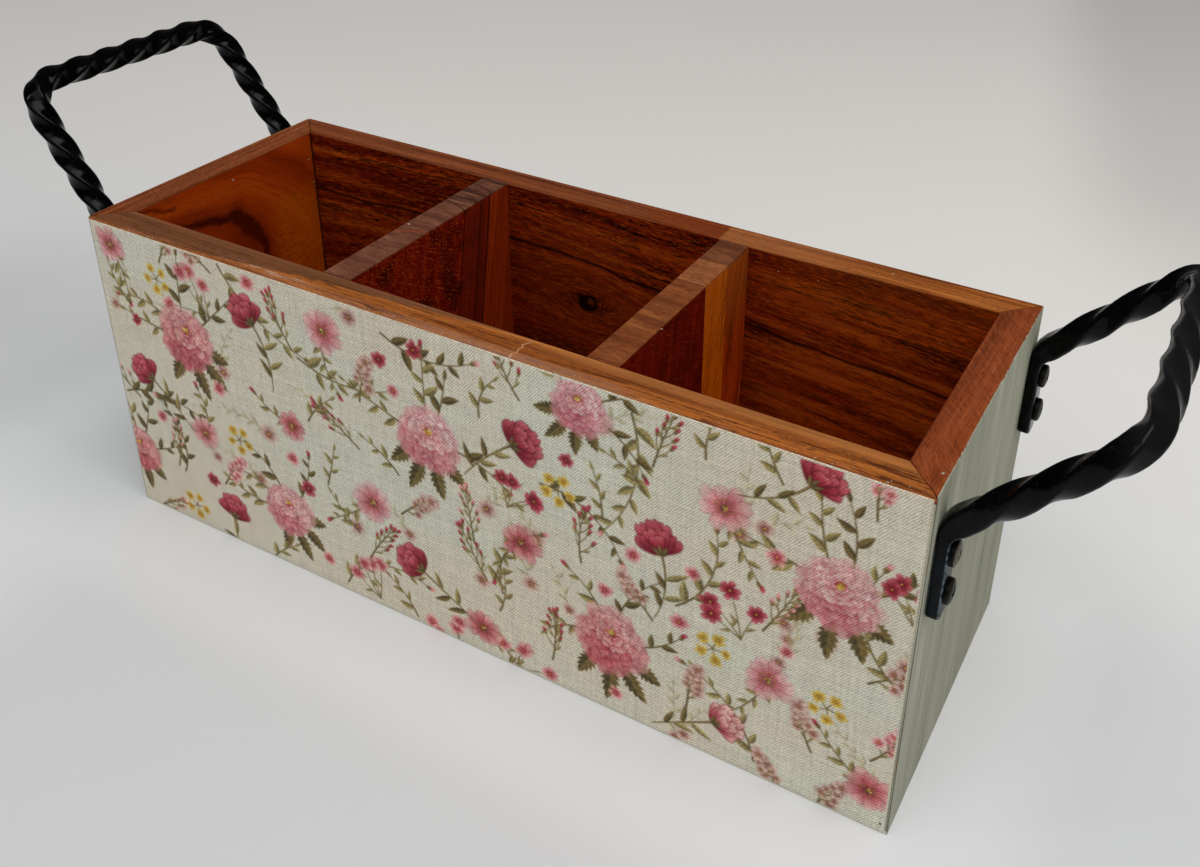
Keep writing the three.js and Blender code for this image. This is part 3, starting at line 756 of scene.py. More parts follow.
def cup(x, y, size, inks, angle, stalk=2.0):
    """A folded bloom from the side, on a stem, opening along angle."""
    points, back = stem(x, y, angle + math.pi, size * stalk, rng.uniform(-0.8, 0.8), 0.95, steps=14)
    for at, side in ((5, 1), (7, -1), (9, 1), (11, -1)):
        leaf(*points[at], back + side * rng.uniform(2.1, 2.6), size * rng.uniform(0.5, 0.72),
             size * 0.17, LEAF if side > 0 else LEAF_DARK)
    for turn, reach, shade in ((-0.95, 0.78, 0.2), (0.95, 0.78, 0.2), (-0.5, 0.95, 0), (0.5, 0.95, 0),
                               (0, 1.0, 0.1), (-0.7, 0.66, 0.45), (0.7, 0.66, 0.3), (-0.28, 0.74, 0.05),
                               (0.3, 0.72, 0.0), (0.0, 0.52, 0.0)):
        petal(x, y, angle + turn + rng.uniform(-0.08, 0.08), size * reach * 0.92, size * 0.46,
              deeper(inks, shade), 0.5, 0.06, 0.0, 0.8)
    for turn in (-0.7, 0, 0.7):
        leaf(*polar(x, y, angle, -0.08 * size), angle + turn, size * 0.32, size * 0.13, LEAF_DARK)


def bud(x, y, size, inks, angle):
    petal(x, y, angle, size, size * 0.62, inks, 0.9)
    leaf(x, y, angle + 0.35, size * 0.55, size * 0.22, LEAF)
    leaf(x, y, angle - 0.35, size * 0.55, size * 0.22, LEAF_DARK)


def sprig(x, y, angle, length, bend, leaf_size, colour=LEAF, tip=None, strength=1.0):
    """A stem with leaves on alternate sides, and a bud (size, inks) or a leaf on its tip."""
    steps = max(int(length / (leaf_size * 0.55)), 4)
    stem_colour = LEAF_DARK if strength == 1 else colour
    points, end = stem(x, y, angle, length, bend, 0.8, stem_colour, steps, strength)
    for i in range(1, steps):
        heading = math.atan2(points[i + 1][1] - points[i][1], points[i + 1][0] - points[i][0])
        size = leaf_size * (1 - 0.4 * i / steps) * rng.uniform(0.8, 1.15)
        side = 1 if i % 2 else -1
        leaf(*points[i], heading + side * rng.uniform(0.55, 1.0), size * 1.1, size * 0.42, colour,
             strength)
    if tip:
        bud(*points[-1], *tip, end)
    else:
        leaf(*points[-1], end, leaf_size * 0.6, leaf_size * 0.2, colour, strength)


def plume(x, y, angle, height, inks, buds):
    """A branching stalk with buds or little blooms at its twigs' ends."""
    points, end = stem(x, y, angle, height, rng.uniform(-0.5, 0.5), 0.8, LEAF_DARK, 10)
    for i in range(2, 11):
        side = 1 if i % 2 else -1
        a = end + side * rng.uniform(0.5, 0.85)
        twig, a = stem(*points[i], a, height * 0.30 * (1.15 - i / 12), -side * 0.4, 0.55, STEM, 4)
        if i % 3 == 2:
            leaf(*twig[1], a + side * 0.5, height * 0.16, height * 0.05, LEAF)
        if buds:
            bud(*twig[-1], 3.6, inks, a)
        else:
            small(*twig[-1], rng.uniform(4.6, 6.6), inks, fade=0.3)
    if buds:
        bud(*points[-1], 4.2, inks, end)
    else:
        small(*points[-1], 6.2, inks)


def stars(x, y, angle, inks, count):
    """A loose bunch of starry blooms on thin forked stalks."""
    root = polar(x, y, angle, -13)
    ends = []
    for k in range(count):
        a = angle + (k - (count - 1) / 2) * 0.42 + rng.uniform(-0.1, 0.1)
        points, _ = stem(*root, a, rng.uniform(12, 22), rng.uniform(-0.5, 0.5), 0.55, STEM, 6)
        ends.append(points[-1])
        leaf(*points[2], a + rng.choice((-0.8, 0.8)), 4.4, 1.4, LEAF)
    for place in ends:
        small(*place, rng.uniform(7, 9), inks, 6, 0.25)


def foliage(x, y, size):
    """Broad toothed leaves and long sprigs that a large bloom lies on."""
    down = -math.pi / 2 + rng.uniform(-0.5, 0.5)
    for turn, reach in ((-0.75, 0.44), (-0.15, 0.54), (0.42, 0.48), (1.0, 0.36)):
        a = down + turn
        leaf(*polar(x, y, a, size * 0.34), a + rng.uniform(-0.15, 0.15), size * reach, size * 0.21,
             LEAF_DARK, teeth=0.5)
    for turn in (1.9, 2.7, 3.5, 4.4):
        a = down + turn + rng.uniform(-0.25, 0.25)
        sprig(*polar(x, y, a, size * 0.36), a, size * rng.uniform(0.55, 0.95),
              rng.uniform(-0.9, 0.9), rng.uniform(6.5, 9), LEAF if turn > 3 else LEAF_DARK,
              (4.6, CRIMSON) if turn in (1.9, 3.5) else None)


BLOOMS = (
    (46, 97, 32, ROSE), (90, 29, 28, BLUSH), (166, 92, 31, BLUSH), (243, 33, 33, ROSE),
    (324, 92, 31, BLUSH), (230, 129, 24, BLUSH), (3, 28, 26, ROSE))
DAISIES = (
    (120, 124, 20, BLUSH), (136, 52, 21, BLUSH), (205, 62, 19, ROSE), (284, 110, 21, BLUSH),
    (303, 46, 20, BLUSH), (10, 130, 18, BLUSH), (186, 12, 18, ROSE), (47, 52, 17, BLUSH),
    (341, 16, 20, ROSE), (98, 74, 15, ROSE))
CUPS = (
    (84, 116, 15, CRIMSON, 2.2), (203, 104, 15, CRIMSON, 0.6), (262, 82, 15, CRIMSON, 1.9),
    (158, 28, 15, CRIMSON, 2.6), (284, 16, 14, ROSE, 0.5), (56, 12, 14, CRIMSON, 1.4),
    (20, 70, 14, CRIMSON, 2.5), (312, 130, 14, CRIMSON, 0.9))
TRAILS = (
    (2, 58, 0.5), (70, 138, -1.1), (118, 4, 1.2), (148, 132, -0.6), (196, 34, 1.9), (268, 62, 0.6),
    (214, 92, 0.2), (300, 6, 1.7), (346, 64, 2.6), (30, 26, 1.0), (250, 134, -1.2), (106, 108, -0.5))
FAINT_SPRIGS, MOST_MOTIFS, TRIES = 26, 70, 9000
ORDER = ("plume", "small", "sprig", "faded", "stars", "small", "sprig", "plume", "faded", "small", "yellow")
ROOMS = dict(plume=9, stars=9, yellow=8.5, faded=9, sprig=8, small=6)


def garden_print():
    """Paints the whole pattern and returns it: a faint layer behind, then long trails, then leaves and
    small motifs wherever there is room, and the blooms on top."""
    for _ in range(FAINT_SPRIGS):
        x, y, a = rng.uniform(0, CANVAS_WIDTH), rng.uniform(0, CANVAS_HEIGHT), rng.uniform(0.4, 2.7)
        sprig(x, y, a, rng.uniform(14, 26), rng.uniform(-1, 1), rng.uniform(4, 6), LEAF_PALE,
              strength=0.5)
        small(x, y, rng.uniform(7, 11), FADED, 5, 0.7)
    for number, trail in enumerate(TRAILS):
        sprig(*trail, rng.uniform(38, 56), rng.uniform(0.7, 1.5) * (1 if number % 2 else -1),
              rng.uniform(7, 9), LEAF if number % 3 else LEAF_DARK, (5, ROSE))
    for x, y, size, _ in BLOOMS:
        foliage(x, y, size)
    for x, y, size, _ in DAISIES:
        a = rng.uniform(0, TURN)
        sprig(x, y, a, size * 1.3, rng.uniform(-1.2, 1.2), 6.5, LEAF, (4.6, CRIMSON))
    # (x, y, radius) of the places that are taken
    taken = [(x, y, size / 2) for x, y, size, _ in BLOOMS + DAISIES]
    for x, y, size, _, a in CUPS:
        taken += [(*polar(x, y, a, 0.4 * size), size * 0.5), (*polar(x, y, a, -size), size * 0.3)]
    laid = 0
    for _ in range(TRIES):
        x, y = rng.uniform(1, CANVAS_WIDTH - 1), rng.uniform(1, CANVAS_HEIGHT - 1)
        kind = ORDER[laid % len(ORDER)]
        room = ROOMS[kind]
        if laid > MOST_MOTIFS or any(math.hypot(x - tx, y - ty) < radius + room for tx, ty, radius in taken):
            continue
        up = rng.uniform(0.7, 2.5)
        if kind == "plume":
            plume(*polar(x, y, up, -9), up, 22, CRIMSON if laid % 3 else ROSE, True)
        elif kind == "stars":
            stars(x, y, up, CRIMSON if laid % 2 else ROSE, 4)
        elif kind == "yellow":
            for turn in rng.permutation(5):
                a = up + turn * 1.2566
                stem(x, y, a, 5, 0.2, 0.5, STEM, 3)
                small(*polar(x, y, a, 5), rng.uniform(4.4, 6.0), YOLK, 5, 0.2)
        elif kind == "faded":
            plume(*polar(x, y, up, -8), up, 19, FADED if laid % 4 else BLUSH, False)
        elif kind == "sprig":
            sprig(*polar(x, y, up, -8), up, 19, rng.uniform(-1, 1), 6.5)
        else:
            small(x, y, rng.uniform(6, 9), ROSE if laid % 4 else CRIMSON, 6, 0.3)
        taken.append((x, y, room * 0.8))
        laid += 1
    for x, y, size, inks in DAISIES:
        daisy(x, y, size, inks)
    for x, y, size, inks, a in CUPS:
        cup(x, y, size, inks, a)
    for x, y, size, inks in BLOOMS:
        full_bloom(x, y, size, inks)
    image = SHEET
    # the ink has bled into the threads
    for axis in (0, 1):
        image = 0.84 * image + 0.08 * (np.roll(image, 1, axis) + np.roll(image, -1, axis))
    image[:, :2], image[:, -2:], image[-2:] = GROUND_EDGE, GROUND_EDGE, GROUND_EDGE
    fray = 0.5 + 0.5 * np.sin(1.7 * XS + 2.4 * np.sin(0.43 * XS))
    image[-1] += (np.array((0.95, 0.93, 0.87)) - image[-1]) * fray[:, None]
    return image


# Meshes

def new_object(name, data):
    made = bpy.data.objects.new(name, data)
    bpy.context.scene.collection.objects.link(made)
    return made


def new_mesh(name, points, faces):
    """A mesh of points in millimetres."""
    mesh = bpy.data.meshes.new(name)
    mesh.from_pydata([tuple(p * MM for p in point) for point in points], [], faces)
    return mesh


def mesh_from(made, name):
    """The mesh of a bmesh, which is freed."""
    mesh = bpy.data.meshes.new(name)
    made.to_mesh(mesh)
    made.free()
    return mesh


def number_points(mesh, name, values):
    mesh.attributes.new(name, "FLOAT", "POINT").data.foreach_set("value", values)


def add_piece(name, mesh, material, round_below=40):
    mesh.validate()
    mesh.shade_smooth()
    mesh.set_sharp_from_angle(angle=math.radians(round_below))
    mesh.materials.append(material)
    piece = new_object(name, mesh)
    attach(piece, "root")
    return piece


def neighbours(flags):
    """The flags of each place's neighbours above, right, below and left. Beyond the array they are set."""
    near = np.pad(flags, 1, constant_values=True)
    return np.stack([near[:-2, 1:-1], near[1:-1, 2:], near[2:, 1:-1], near[1:-1, :-2]], -1)


def fine_faces(image):
    """Square faces over the array, one point wide where the colour changes and up to eight where it
    hardly does. Returns (row, column) of each face's points, with a fan where a neighbour is finer."""
    fits = [np.ones((ROWS, COLUMNS), bool)]
    for level in range(1, LEVELS):
        size = 2 ** level
        rows, columns = ROWS // size, COLUMNS // size
        corners = image[::size, ::size]
        worst = np.zeros((rows, columns))
        for i in range(size):
            for j in range(size):
                p, q = i / size, j / size
                guess = ((corners[:-1, :-1] * (1 - q) + corners[:-1, 1:] * q) * (1 - p)
                         + (corners[1:, :-1] * (1 - q) + corners[1:, 1:] * q) * p)
                worst = np.maximum(worst, np.abs(image[i:ROWS:size, j:COLUMNS:size] - guess).max(-1))
        whole = fits[-1].reshape(rows, 2, columns, 2).all((1, 3))
        level_fits = (worst < FLATNESS) & whole & neighbours(whole).all(-1)
        level_fits[0], level_fits[-1], level_fits[:, 0], level_fits[:, -1] = False, False, False, False
        fits.append(level_fits)
    quads, fans = [], []
    for level, level_fits in enumerate(fits):
        size = 2 ** level
        leaf = level_fits.copy()
        if level + 1 < LEVELS:
            leaf &= ~np.repeat(np.repeat(fits[level + 1], 2, 0), 2, 1)
        finer = ~neighbours(level_fits)
        i, j = np.nonzero(leaf)
        finer = finer[i, j] if level else np.zeros((len(i), 4), bool)
        ring = [(0, 0), (0, 0.5), (0, 1), (0.5, 1), (1, 1), (1, 0.5), (1, 0), (0.5, 0)]
        for pattern in range(16):
            chosen = (finer @ (1, 2, 4, 8)) == pattern
            if not chosen.any():
                continue
            at = [k for k in range(8) if k % 2 == 0 or pattern >> (k // 2) & 1]
            corner = np.stack([i[chosen], j[chosen]], -1) * size
            points = [corner + np.array([int(ring[k][0] * size), int(ring[k][1] * size)]) for k in at]
            if pattern == 0:
                quads.append(np.stack(points, 1))
            else:
                middle = corner + size // 2
                for a, b in zip(points, points[1:] + points[:1]):
                    fans.append(np.stack([middle, a, b], 1))
    return np.concatenate(quads), np.concatenate(fans)


def canvas_piece():
    """A thin closed sheet: the printed face, its edges, and one face against the board."""
    image = garden_print()
    quads, fans = fine_faces(image)
    wide = COLUMNS + 1
    quads, fans = quads[..., 0] * wide + quads[..., 1], fans[..., 0] * wide + fans[..., 1]
    used, where = np.unique(np.concatenate([quads.ravel(), fans.ravel()]), return_inverse=True)
    rows, columns = used // wide, used % wide
    x = columns / COLUMNS * CANVAS_WIDTH - CANVAS_WIDTH / 2
    z = rows / ROWS * CANVAS_HEIGHT + CANVAS_TOP - CANVAS_HEIGHT
    # the two lower corners are cut round
    cx, cz = CANVAS_WIDTH / 2 - CANVAS_CORNER, CANVAS_TOP - CANVAS_HEIGHT + CANVAS_CORNER
    u, v = (np.abs(x) - cx) / CANVAS_CORNER, (cz - z) / CANVAS_CORNER
    corner = (u > 0) & (v > 0)
    x = np.where(corner, np.sign(x) * (cx + CANVAS_CORNER * u * np.sqrt(np.clip(1 - v * v / 2, 0, 1))), x)
    z = np.where(corner, cz - CANVAS_CORNER * v * np.sqrt(np.clip(1 - u * u / 2, 0, 1)), z)
    edge = np.minimum(np.minimum(columns, COLUMNS - columns), np.minimum(rows, ROWS - rows))
    ripple = soft_noise(40)[rows, columns]
    out = EDGE_THICKNESS + THICKER_INSIDE * smooth(0, 3, edge) + RIPPLES * ripple * smooth(0, 8, edge)
    front = np.stack([x, -HALF_DEPTH - out, z], -1)

    rim = edge == 0
    turn = np.arctan2(rows[rim] / ROWS - 0.5, columns[rim] / COLUMNS - 0.5)
    ring = np.nonzero(rim)[0][np.argsort(turn)]
    back = front[ring].copy()
    back[:, 1] = -HALF_DEPTH
    points = np.concatenate([front, back])
    count, round_ = len(front), len(ring)
    behind = count + np.arange(round_)
    nxt = np.roll(np.arange(round_), -1)
    sides = np.stack([ring, behind, behind[nxt], ring[nxt]], -1)
    quads, fans = where[:quads.size].reshape(-1, 4), where[quads.size:].reshape(-1, 3)
    faces = [*quads.tolist(), *fans.tolist(), *sides.tolist(), behind[::-1].tolist()]
    mesh = new_mesh("canvas", points.tolist(), faces)
    inks = np.ones((len(points), 4), np.float32)
    inks[:count, :3] = linear(image[rows, columns] * 255)
    inks[count:, :3] = linear(GROUND_EDGE * 255)
    layer = mesh.color_attributes.new("print", "FLOAT_COLOR", "POINT")
    layer.data.foreach_set("color", inks.ravel())
    piece = add_piece("printed_canvas", mesh, cloth_finish(), 50)
    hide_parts("front_canvas")


# Handles: square bar, twisted, flattened at the feet and bent

BOX_DEPTH = 2 * HALF_DEPTH
BAR, BAR_EDGE_RADIUS = 8.4, 1.6
BROKEN_EDGE, BROKEN_REACH = 0.45, 0.5       # how much the feet's end edges are broken, and how far in
HAMMERED_SCALE = 0.992                       # keeps the dented bar inside the solid's size
ROW_STEP = 0.75                  # between the bar's rows of points
DENTS = ((0.10, 3.4, 5.2, 40), (0.05, 1.3, 1.9, 0))     # depth, size across and along, shift
FOOT_WIDTH, FOOT_THICKNESS, FOOT_CORNER, FOOT_BELOW_SCREW, FOOT_TO_BAR = 11.0, 4.5, 2.5, 9.2, 10.0
SWELL_BELOW_BEND, BEND_RADIUS, CORNER_RADIUS = 1.2, 8.0, 12.6
TWIST_INSET, TWIST_RAMP = 8.0, 0.04
SCREW_HEAD, SCREW_HEAD_HEIGHT, SCREW_HEAD_RIM, SCREW_SHANK = 8.6, 2.4, 1.3, 3.8
SCREW_IN_WALL, SCREW_POINT, SCREW_TO_SWELL, SCREW_PITCH = 9.0, 3.0, 0.2, 14.7
THREADS, RECESS_DEPTH = 9, 1.75
RECESS_ARM = ((2.45, -0.42), (2.45, 0.42), (0.72, 0.72))
HANDLES = (
    dict(name="left", side=-1, front_inset=12.5, back_inset=10.5, lean=34.5, bend_height=128.0, reach=67.7,
         sway=-1.2, splay=-1.2, ridges=14),
    dict(name="right", side=1, front_inset=9.6, back_inset=6.2, lean=45.5, bend_height=125.2, reach=67.5,
         sway=-1.2, splay=1.2, ridges=11))


def foot_heights(shape):
    """The bend's tangent length, and the heights of the flat's top, the upper and the lower screw and
    the foot's end."""
    tangent = BEND_RADIUS * math.tan(math.radians(shape["lean"]) / 2)
    flat_top = shape["bend_height"] - tangent - SWELL_BELOW_BEND
    upper = flat_top - SCREW_TO_SWELL - SCREW_HEAD / 2
    lower = upper - SCREW_PITCH
    return tangent, flat_top, upper, lower, lower - FOOT_BELOW_SCREW


class HandleLine:
    """The middle line of a handle: X away from the wall, Y along it, Z up."""

    def __init__(self, shape):
        self.shape = shape
        self.tangent, flat_top, _, _, self.bottom = foot_heights(shape)
        self.spacing = BOX_DEPTH - shape["front_inset"] - shape["back_inset"]
        self.angle = math.radians(shape["lean"])
        self.flat = flat_top - self.bottom
        self.foot = shape["bend_height"] - self.tangent - self.bottom
        self.bend = self.foot + BEND_RADIUS * self.angle
        self.leg = self.bend + shape["reach"] - self.tangent - CORNER_RADIUS
        self.corner = self.leg + CORNER_RADIUS * math.pi / 2
        self.length = 2 * self.corner + self.spacing - 2 * CORNER_RADIUS

    def half_way(self, distance):
        point = Vector((FOOT_THICKNESS / 2, -self.spacing / 2, 0))
        slope = min(max((distance - self.foot) / BEND_RADIUS, 0), self.angle)
        if distance <= self.bend:
            point.x += BEND_RADIUS * (1 - math.cos(slope))
            point.z = self.bottom + min(distance, self.foot) + BEND_RADIUS * math.sin(slope)
            return point, Vector((math.sin(slope), 0, math.cos(slope))), slope
        up = Vector((math.sin(self.angle), 0, math.cos(self.angle)))
        turn = min(max((distance - self.leg) / CORNER_RADIUS, 0), math.pi / 2)
        rise = min(distance, self.leg) - self.bend + self.tangent + CORNER_RADIUS * math.sin(turn)
        across = CORNER_RADIUS * (1 - math.cos(turn)) + max(distance - self.corner, 0)
        point = Vector((FOOT_THICKNESS / 2, 0, self.shape["bend_height"])) + up * rise
        point.y = across - self.spacing / 2
        along = up * math.cos(turn)
        along.y = math.sin(turn)
        return point, along, slope

    def at(self, distance):
        is_back = distance > self.length / 2
        point, along, slope = self.half_way(self.length - distance if is_back else distance)
        if is_back:
            point.y = -point.y
            along = Vector((-along.x, along.y, -along.z))
        shape = self.shape
        share = max(point.z - shape["bend_height"], 0) / (shape["reach"] * math.cos(self.angle))
        point.y += share * (shape["side"] * shape["sway"] + shape["splay"] * 2 * point.y / self.spacing)
        outwards = Vector((math.cos(slope), 0, -math.sin(slope)))
        return point, outwards, along.cross(outwards)


def gentle_rise(share):
    share = min(max(share, 0), 1)
    if share < TWIST_RAMP:
        return share * share / (2 * TWIST_RAMP * (1 - TWIST_RAMP))
    if share > 1 - TWIST_RAMP:
        return 1 - (1 - share) ** 2 / (2 * TWIST_RAMP * (1 - TWIST_RAMP))
    return (share - TWIST_RAMP / 2) / (1 - TWIST_RAMP)


def bar_section():
    """(x, y, how near a ridge) round a square bar with rounded edges."""
    half = BAR / 2 - BAR_EDGE_RADIUS
    points = []
    for side in range(4):
        turned = Matrix.Rotation(side * math.pi / 2, 2)
        middle = turned @ Vector((half, half))
        for k in range(7):
            a = side * math.pi / 2 + k / 6 * math.pi / 2
            points.append((*polar(*middle, a, BAR_EDGE_RADIUS), 1 - abs(k - 3) / 3))
        for share in (0.25, 0.5, 0.75):
            p = turned @ Vector((half * (1 - 2 * share), BAR / 2))
            points.append((p.x, p.y, 0.0))
    return points


def handle_piece(shape):
    """A handle: rings of bar_section turned and flattened along its middle line."""
    line = HandleLine(shape)
    ends = [FOOT_CORNER * (1 - math.cos(i / 8 * math.pi / 2)) for i in range(9)]
    ends = sorted(set(ends + [0.15, 0.4]))
    foot = np.linspace(FOOT_CORNER, line.flat, 22)[1:-1].tolist()
    steps = round((line.length - 2 * line.flat) / ROW_STEP)
    middle = np.linspace(line.flat, line.length - line.flat, steps + 1).tolist()
    rows = ends + foot + middle + [line.length - row for row in reversed(ends + foot)]
    section = bar_section()
    twist_start = line.foot + TWIST_INSET
    low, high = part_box(f"{shape['name']}_handle")
    low, high = np.array(low) / MM, np.array(high) / MM
    points, ridges = [], []
    for distance in rows:
        from_end = min(distance, line.length - distance)
        square = float(smooth(line.flat, line.flat + FOOT_TO_BAR, from_end))
        twisted = (distance - twist_start) / (line.length - 2 * twist_start)
        turn = -shape["ridges"] * math.pi / 2 * gentle_rise(twisted)
        inset = FOOT_CORNER - min(from_end, FOOT_CORNER)
        rounding = FOOT_CORNER - math.sqrt(FOOT_CORNER ** 2 - inset ** 2)
        broken = BROKEN_EDGE * max(1 - from_end / BROKEN_REACH, 0) ** 2
        width = (FOOT_WIDTH - 2 * rounding - broken) * (1 - square) / BAR + square
        thickness = (FOOT_THICKNESS - broken) * (1 - square) / BAR + square
        point, outwards, sideways = line.at(distance)
        for x, y, ridge in section:
            rx, ry = rotated(x, y, turn)
            dent = 0
            for depth, size, run, shift in DENTS:
                spot = Vector((rx / size, ry / size, distance / run + shape["side"] * shift))
                dent += depth * noise.noise(spot)
            scale = HAMMERED_SCALE + dent / BAR * 2
            place = point + outwards * (rx * thickness * scale) + sideways * (ry * width * scale)
            place.x = max(place.x, 0)
            place = Vector((HALF_LENGTH + place.x, place.y, place.z))
            if shape["side"] < 0:
                place.x, place.y = -place.x, -place.y
            place.y += (shape["front_inset"] - shape["back_inset"]) / 2
            points.append(np.clip(place, low, high).tolist())
            ridges.append(ridge * (0.4 + 0.6 * square))
    around = len(section)
    last = (len(rows) - 1) * around
    faces = [(i + j, i + (j + 1) % around, i + around + (j + 1) % around, i + around + j)
             for i in range(0, last, around) for j in range(around)]
    faces += [tuple(reversed(range(around))), tuple(last + j for j in range(around))]
    name = f"{shape['name']}_twisted_handle"
    piece = add_piece(name, new_mesh(name, points, faces), IRON, 50)
    number_points(piece.data, "ridge", ridges)
    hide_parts(f"{shape['name']}_handle")


def turned_solid(profile, sides):
    """A closed solid turned about Z. The profile is (radius, height) from the axis's foot to its top."""
    made = bmesh.new()
    rings = []
    for radius, height in profile:
        ring = [made.verts.new((*polar(0, 0, k / sides * 2 * math.pi, radius), height))
                for k in range(sides if radius else 1)]
        rings.append(ring if radius else ring * sides)
    for low, high in zip(rings, rings[1:]):
        for k in range(sides):
            n = (k + 1) % sides
            corners = list(dict.fromkeys((low[k], low[n], high[n], high[k])))
            if len(corners) > 2:
                made.faces.new(corners)
    return made


def screw_mesh():
    """A pan-head screw with a cross recess, standing on Z = 0 with its shank below, in millimetres."""
    radius, shank = SCREW_HEAD / 2, SCREW_SHANK / 2
    length = FOOT_THICKNESS + SCREW_IN_WALL
    profile = [(0, -length)]
    for k in range(THREADS):
        height = -length + SCREW_POINT * 0.25 + k * (length - FOOT_THICKNESS - 0.8) / THREADS
        reach = min((height + length) / SCREW_POINT, 1)
        profile += [(shank * 0.72 * reach, height), (shank * reach, height + 0.45)]
    profile += [(shank * 0.74, -FOOT_THICKNESS), (shank, -FOOT_THICKNESS + 0.5), (shank, 0),
                (radius - 0.15, 0), (radius, 0.15)]
    for k in range(13):
        a = k / 12 * math.pi / 2
        profile.append((radius * math.cos(a) if k < 12 else 0,
                        SCREW_HEAD_RIM + (SCREW_HEAD_HEIGHT - SCREW_HEAD_RIM) * math.sin(a)))
    body = mesh_from(turned_solid(profile, 48), "screw_body")

    # a four-armed star that narrows as it goes down
    cutter = bmesh.new()
    star = [rotated(*place, arm * math.pi / 2) for arm in range(4) for place in RECESS_ARM]
    low = [cutter.verts.new((x * 0.45, y * 0.6, SCREW_HEAD_HEIGHT - RECESS_DEPTH)) for x, y in star]
    high = [cutter.verts.new((x, y, SCREW_HEAD_HEIGHT + 0.3)) for x, y in star]
    cutter.faces.new(reversed(low))
    cutter.faces.new(high)
    for k in range(len(star)):
        n = (k + 1) % len(star)
        cutter.faces.new((low[k], low[n], high[n], high[k]))

    owner = new_object("screw_body", body)
    tool = new_object("screw_recess", mesh_from(cutter, "screw_recess"))
    cut = owner.modifiers.new("recess", "BOOLEAN")
    cut.operation, cut.solver, cut.object = "DIFFERENCE", "EXACT", tool
    ease = owner.modifiers.new("ease", "BEVEL")
    ease.width, ease.segments, ease.limit_method, ease.angle_limit = 0.07, 2, "ANGLE", math.radians(50)
    result = bpy.data.meshes.new_from_object(owner.evaluated_get(bpy.context.evaluated_depsgraph_get()))
    bpy.data.objects.remove(owner)
    bpy.data.objects.remove(tool)
    return result


def screw_pieces():
    """Copies of one screw at each hole. The recess attribute is 1 down in the cross, 0.6 on the dome,
    0.35 where the dome starts and 0 elsewhere."""
    pattern = screw_mesh()
    shape = np.array([v.co for v in pattern.vertices])
    from_axis = np.hypot(shape[:, 0], shape[:, 1])
    bulge = np.sqrt(np.clip(1 - (from_axis / (SCREW_HEAD / 2)) ** 2, 0, 1))
    crown = SCREW_HEAD_RIM + (SCREW_HEAD_HEIGHT - SCREW_HEAD_RIM) * bulge
    dome = shape[:, 2] > SCREW_HEAD_RIM - 0.01
    sunk = (from_axis < 2.9) & (shape[:, 2] > 0) & (shape[:, 2] < crown - 0.03)
    recess = np.where(sunk, 1.0, np.where(dome, np.where(from_axis > 4.2, 0.35, 0.6), 0.0))
    black, worn = screw_finish("black_screw", 0.08), screw_finish("worn_screw", 1.0)
    for handle in HANDLES:
        side = handle["side"]
        _, _, upper, lower, _ = foot_heights(handle)
        feet = (("front", handle["front_inset"] - HALF_DEPTH), ("back", HALF_DEPTH - handle["back_inset"]))
        for foot, y in feet:
            for height, z in (("lower", lower), ("upper", upper)):
                name = f"{handle['name']}_{foot}_{height}_screw"
                mesh = pattern.copy()
                seat = Matrix.Translation((side * (HALF_LENGTH + FOOT_THICKNESS) * MM, y * MM, z * MM))
                face = Matrix.Rotation(side * math.pi / 2, 4, "Y") @ Matrix.Rotation(y + z, 4, "Z")
                mesh.transform(seat @ face @ Matrix.Scale(MM, 4))
                is_worn = name == "right_front_upper_screw"
                piece = add_piece(f"{name}_detail", mesh, worn if is_worn else black, 35)
                number_points(mesh, "recess", recess)
                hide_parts(name)


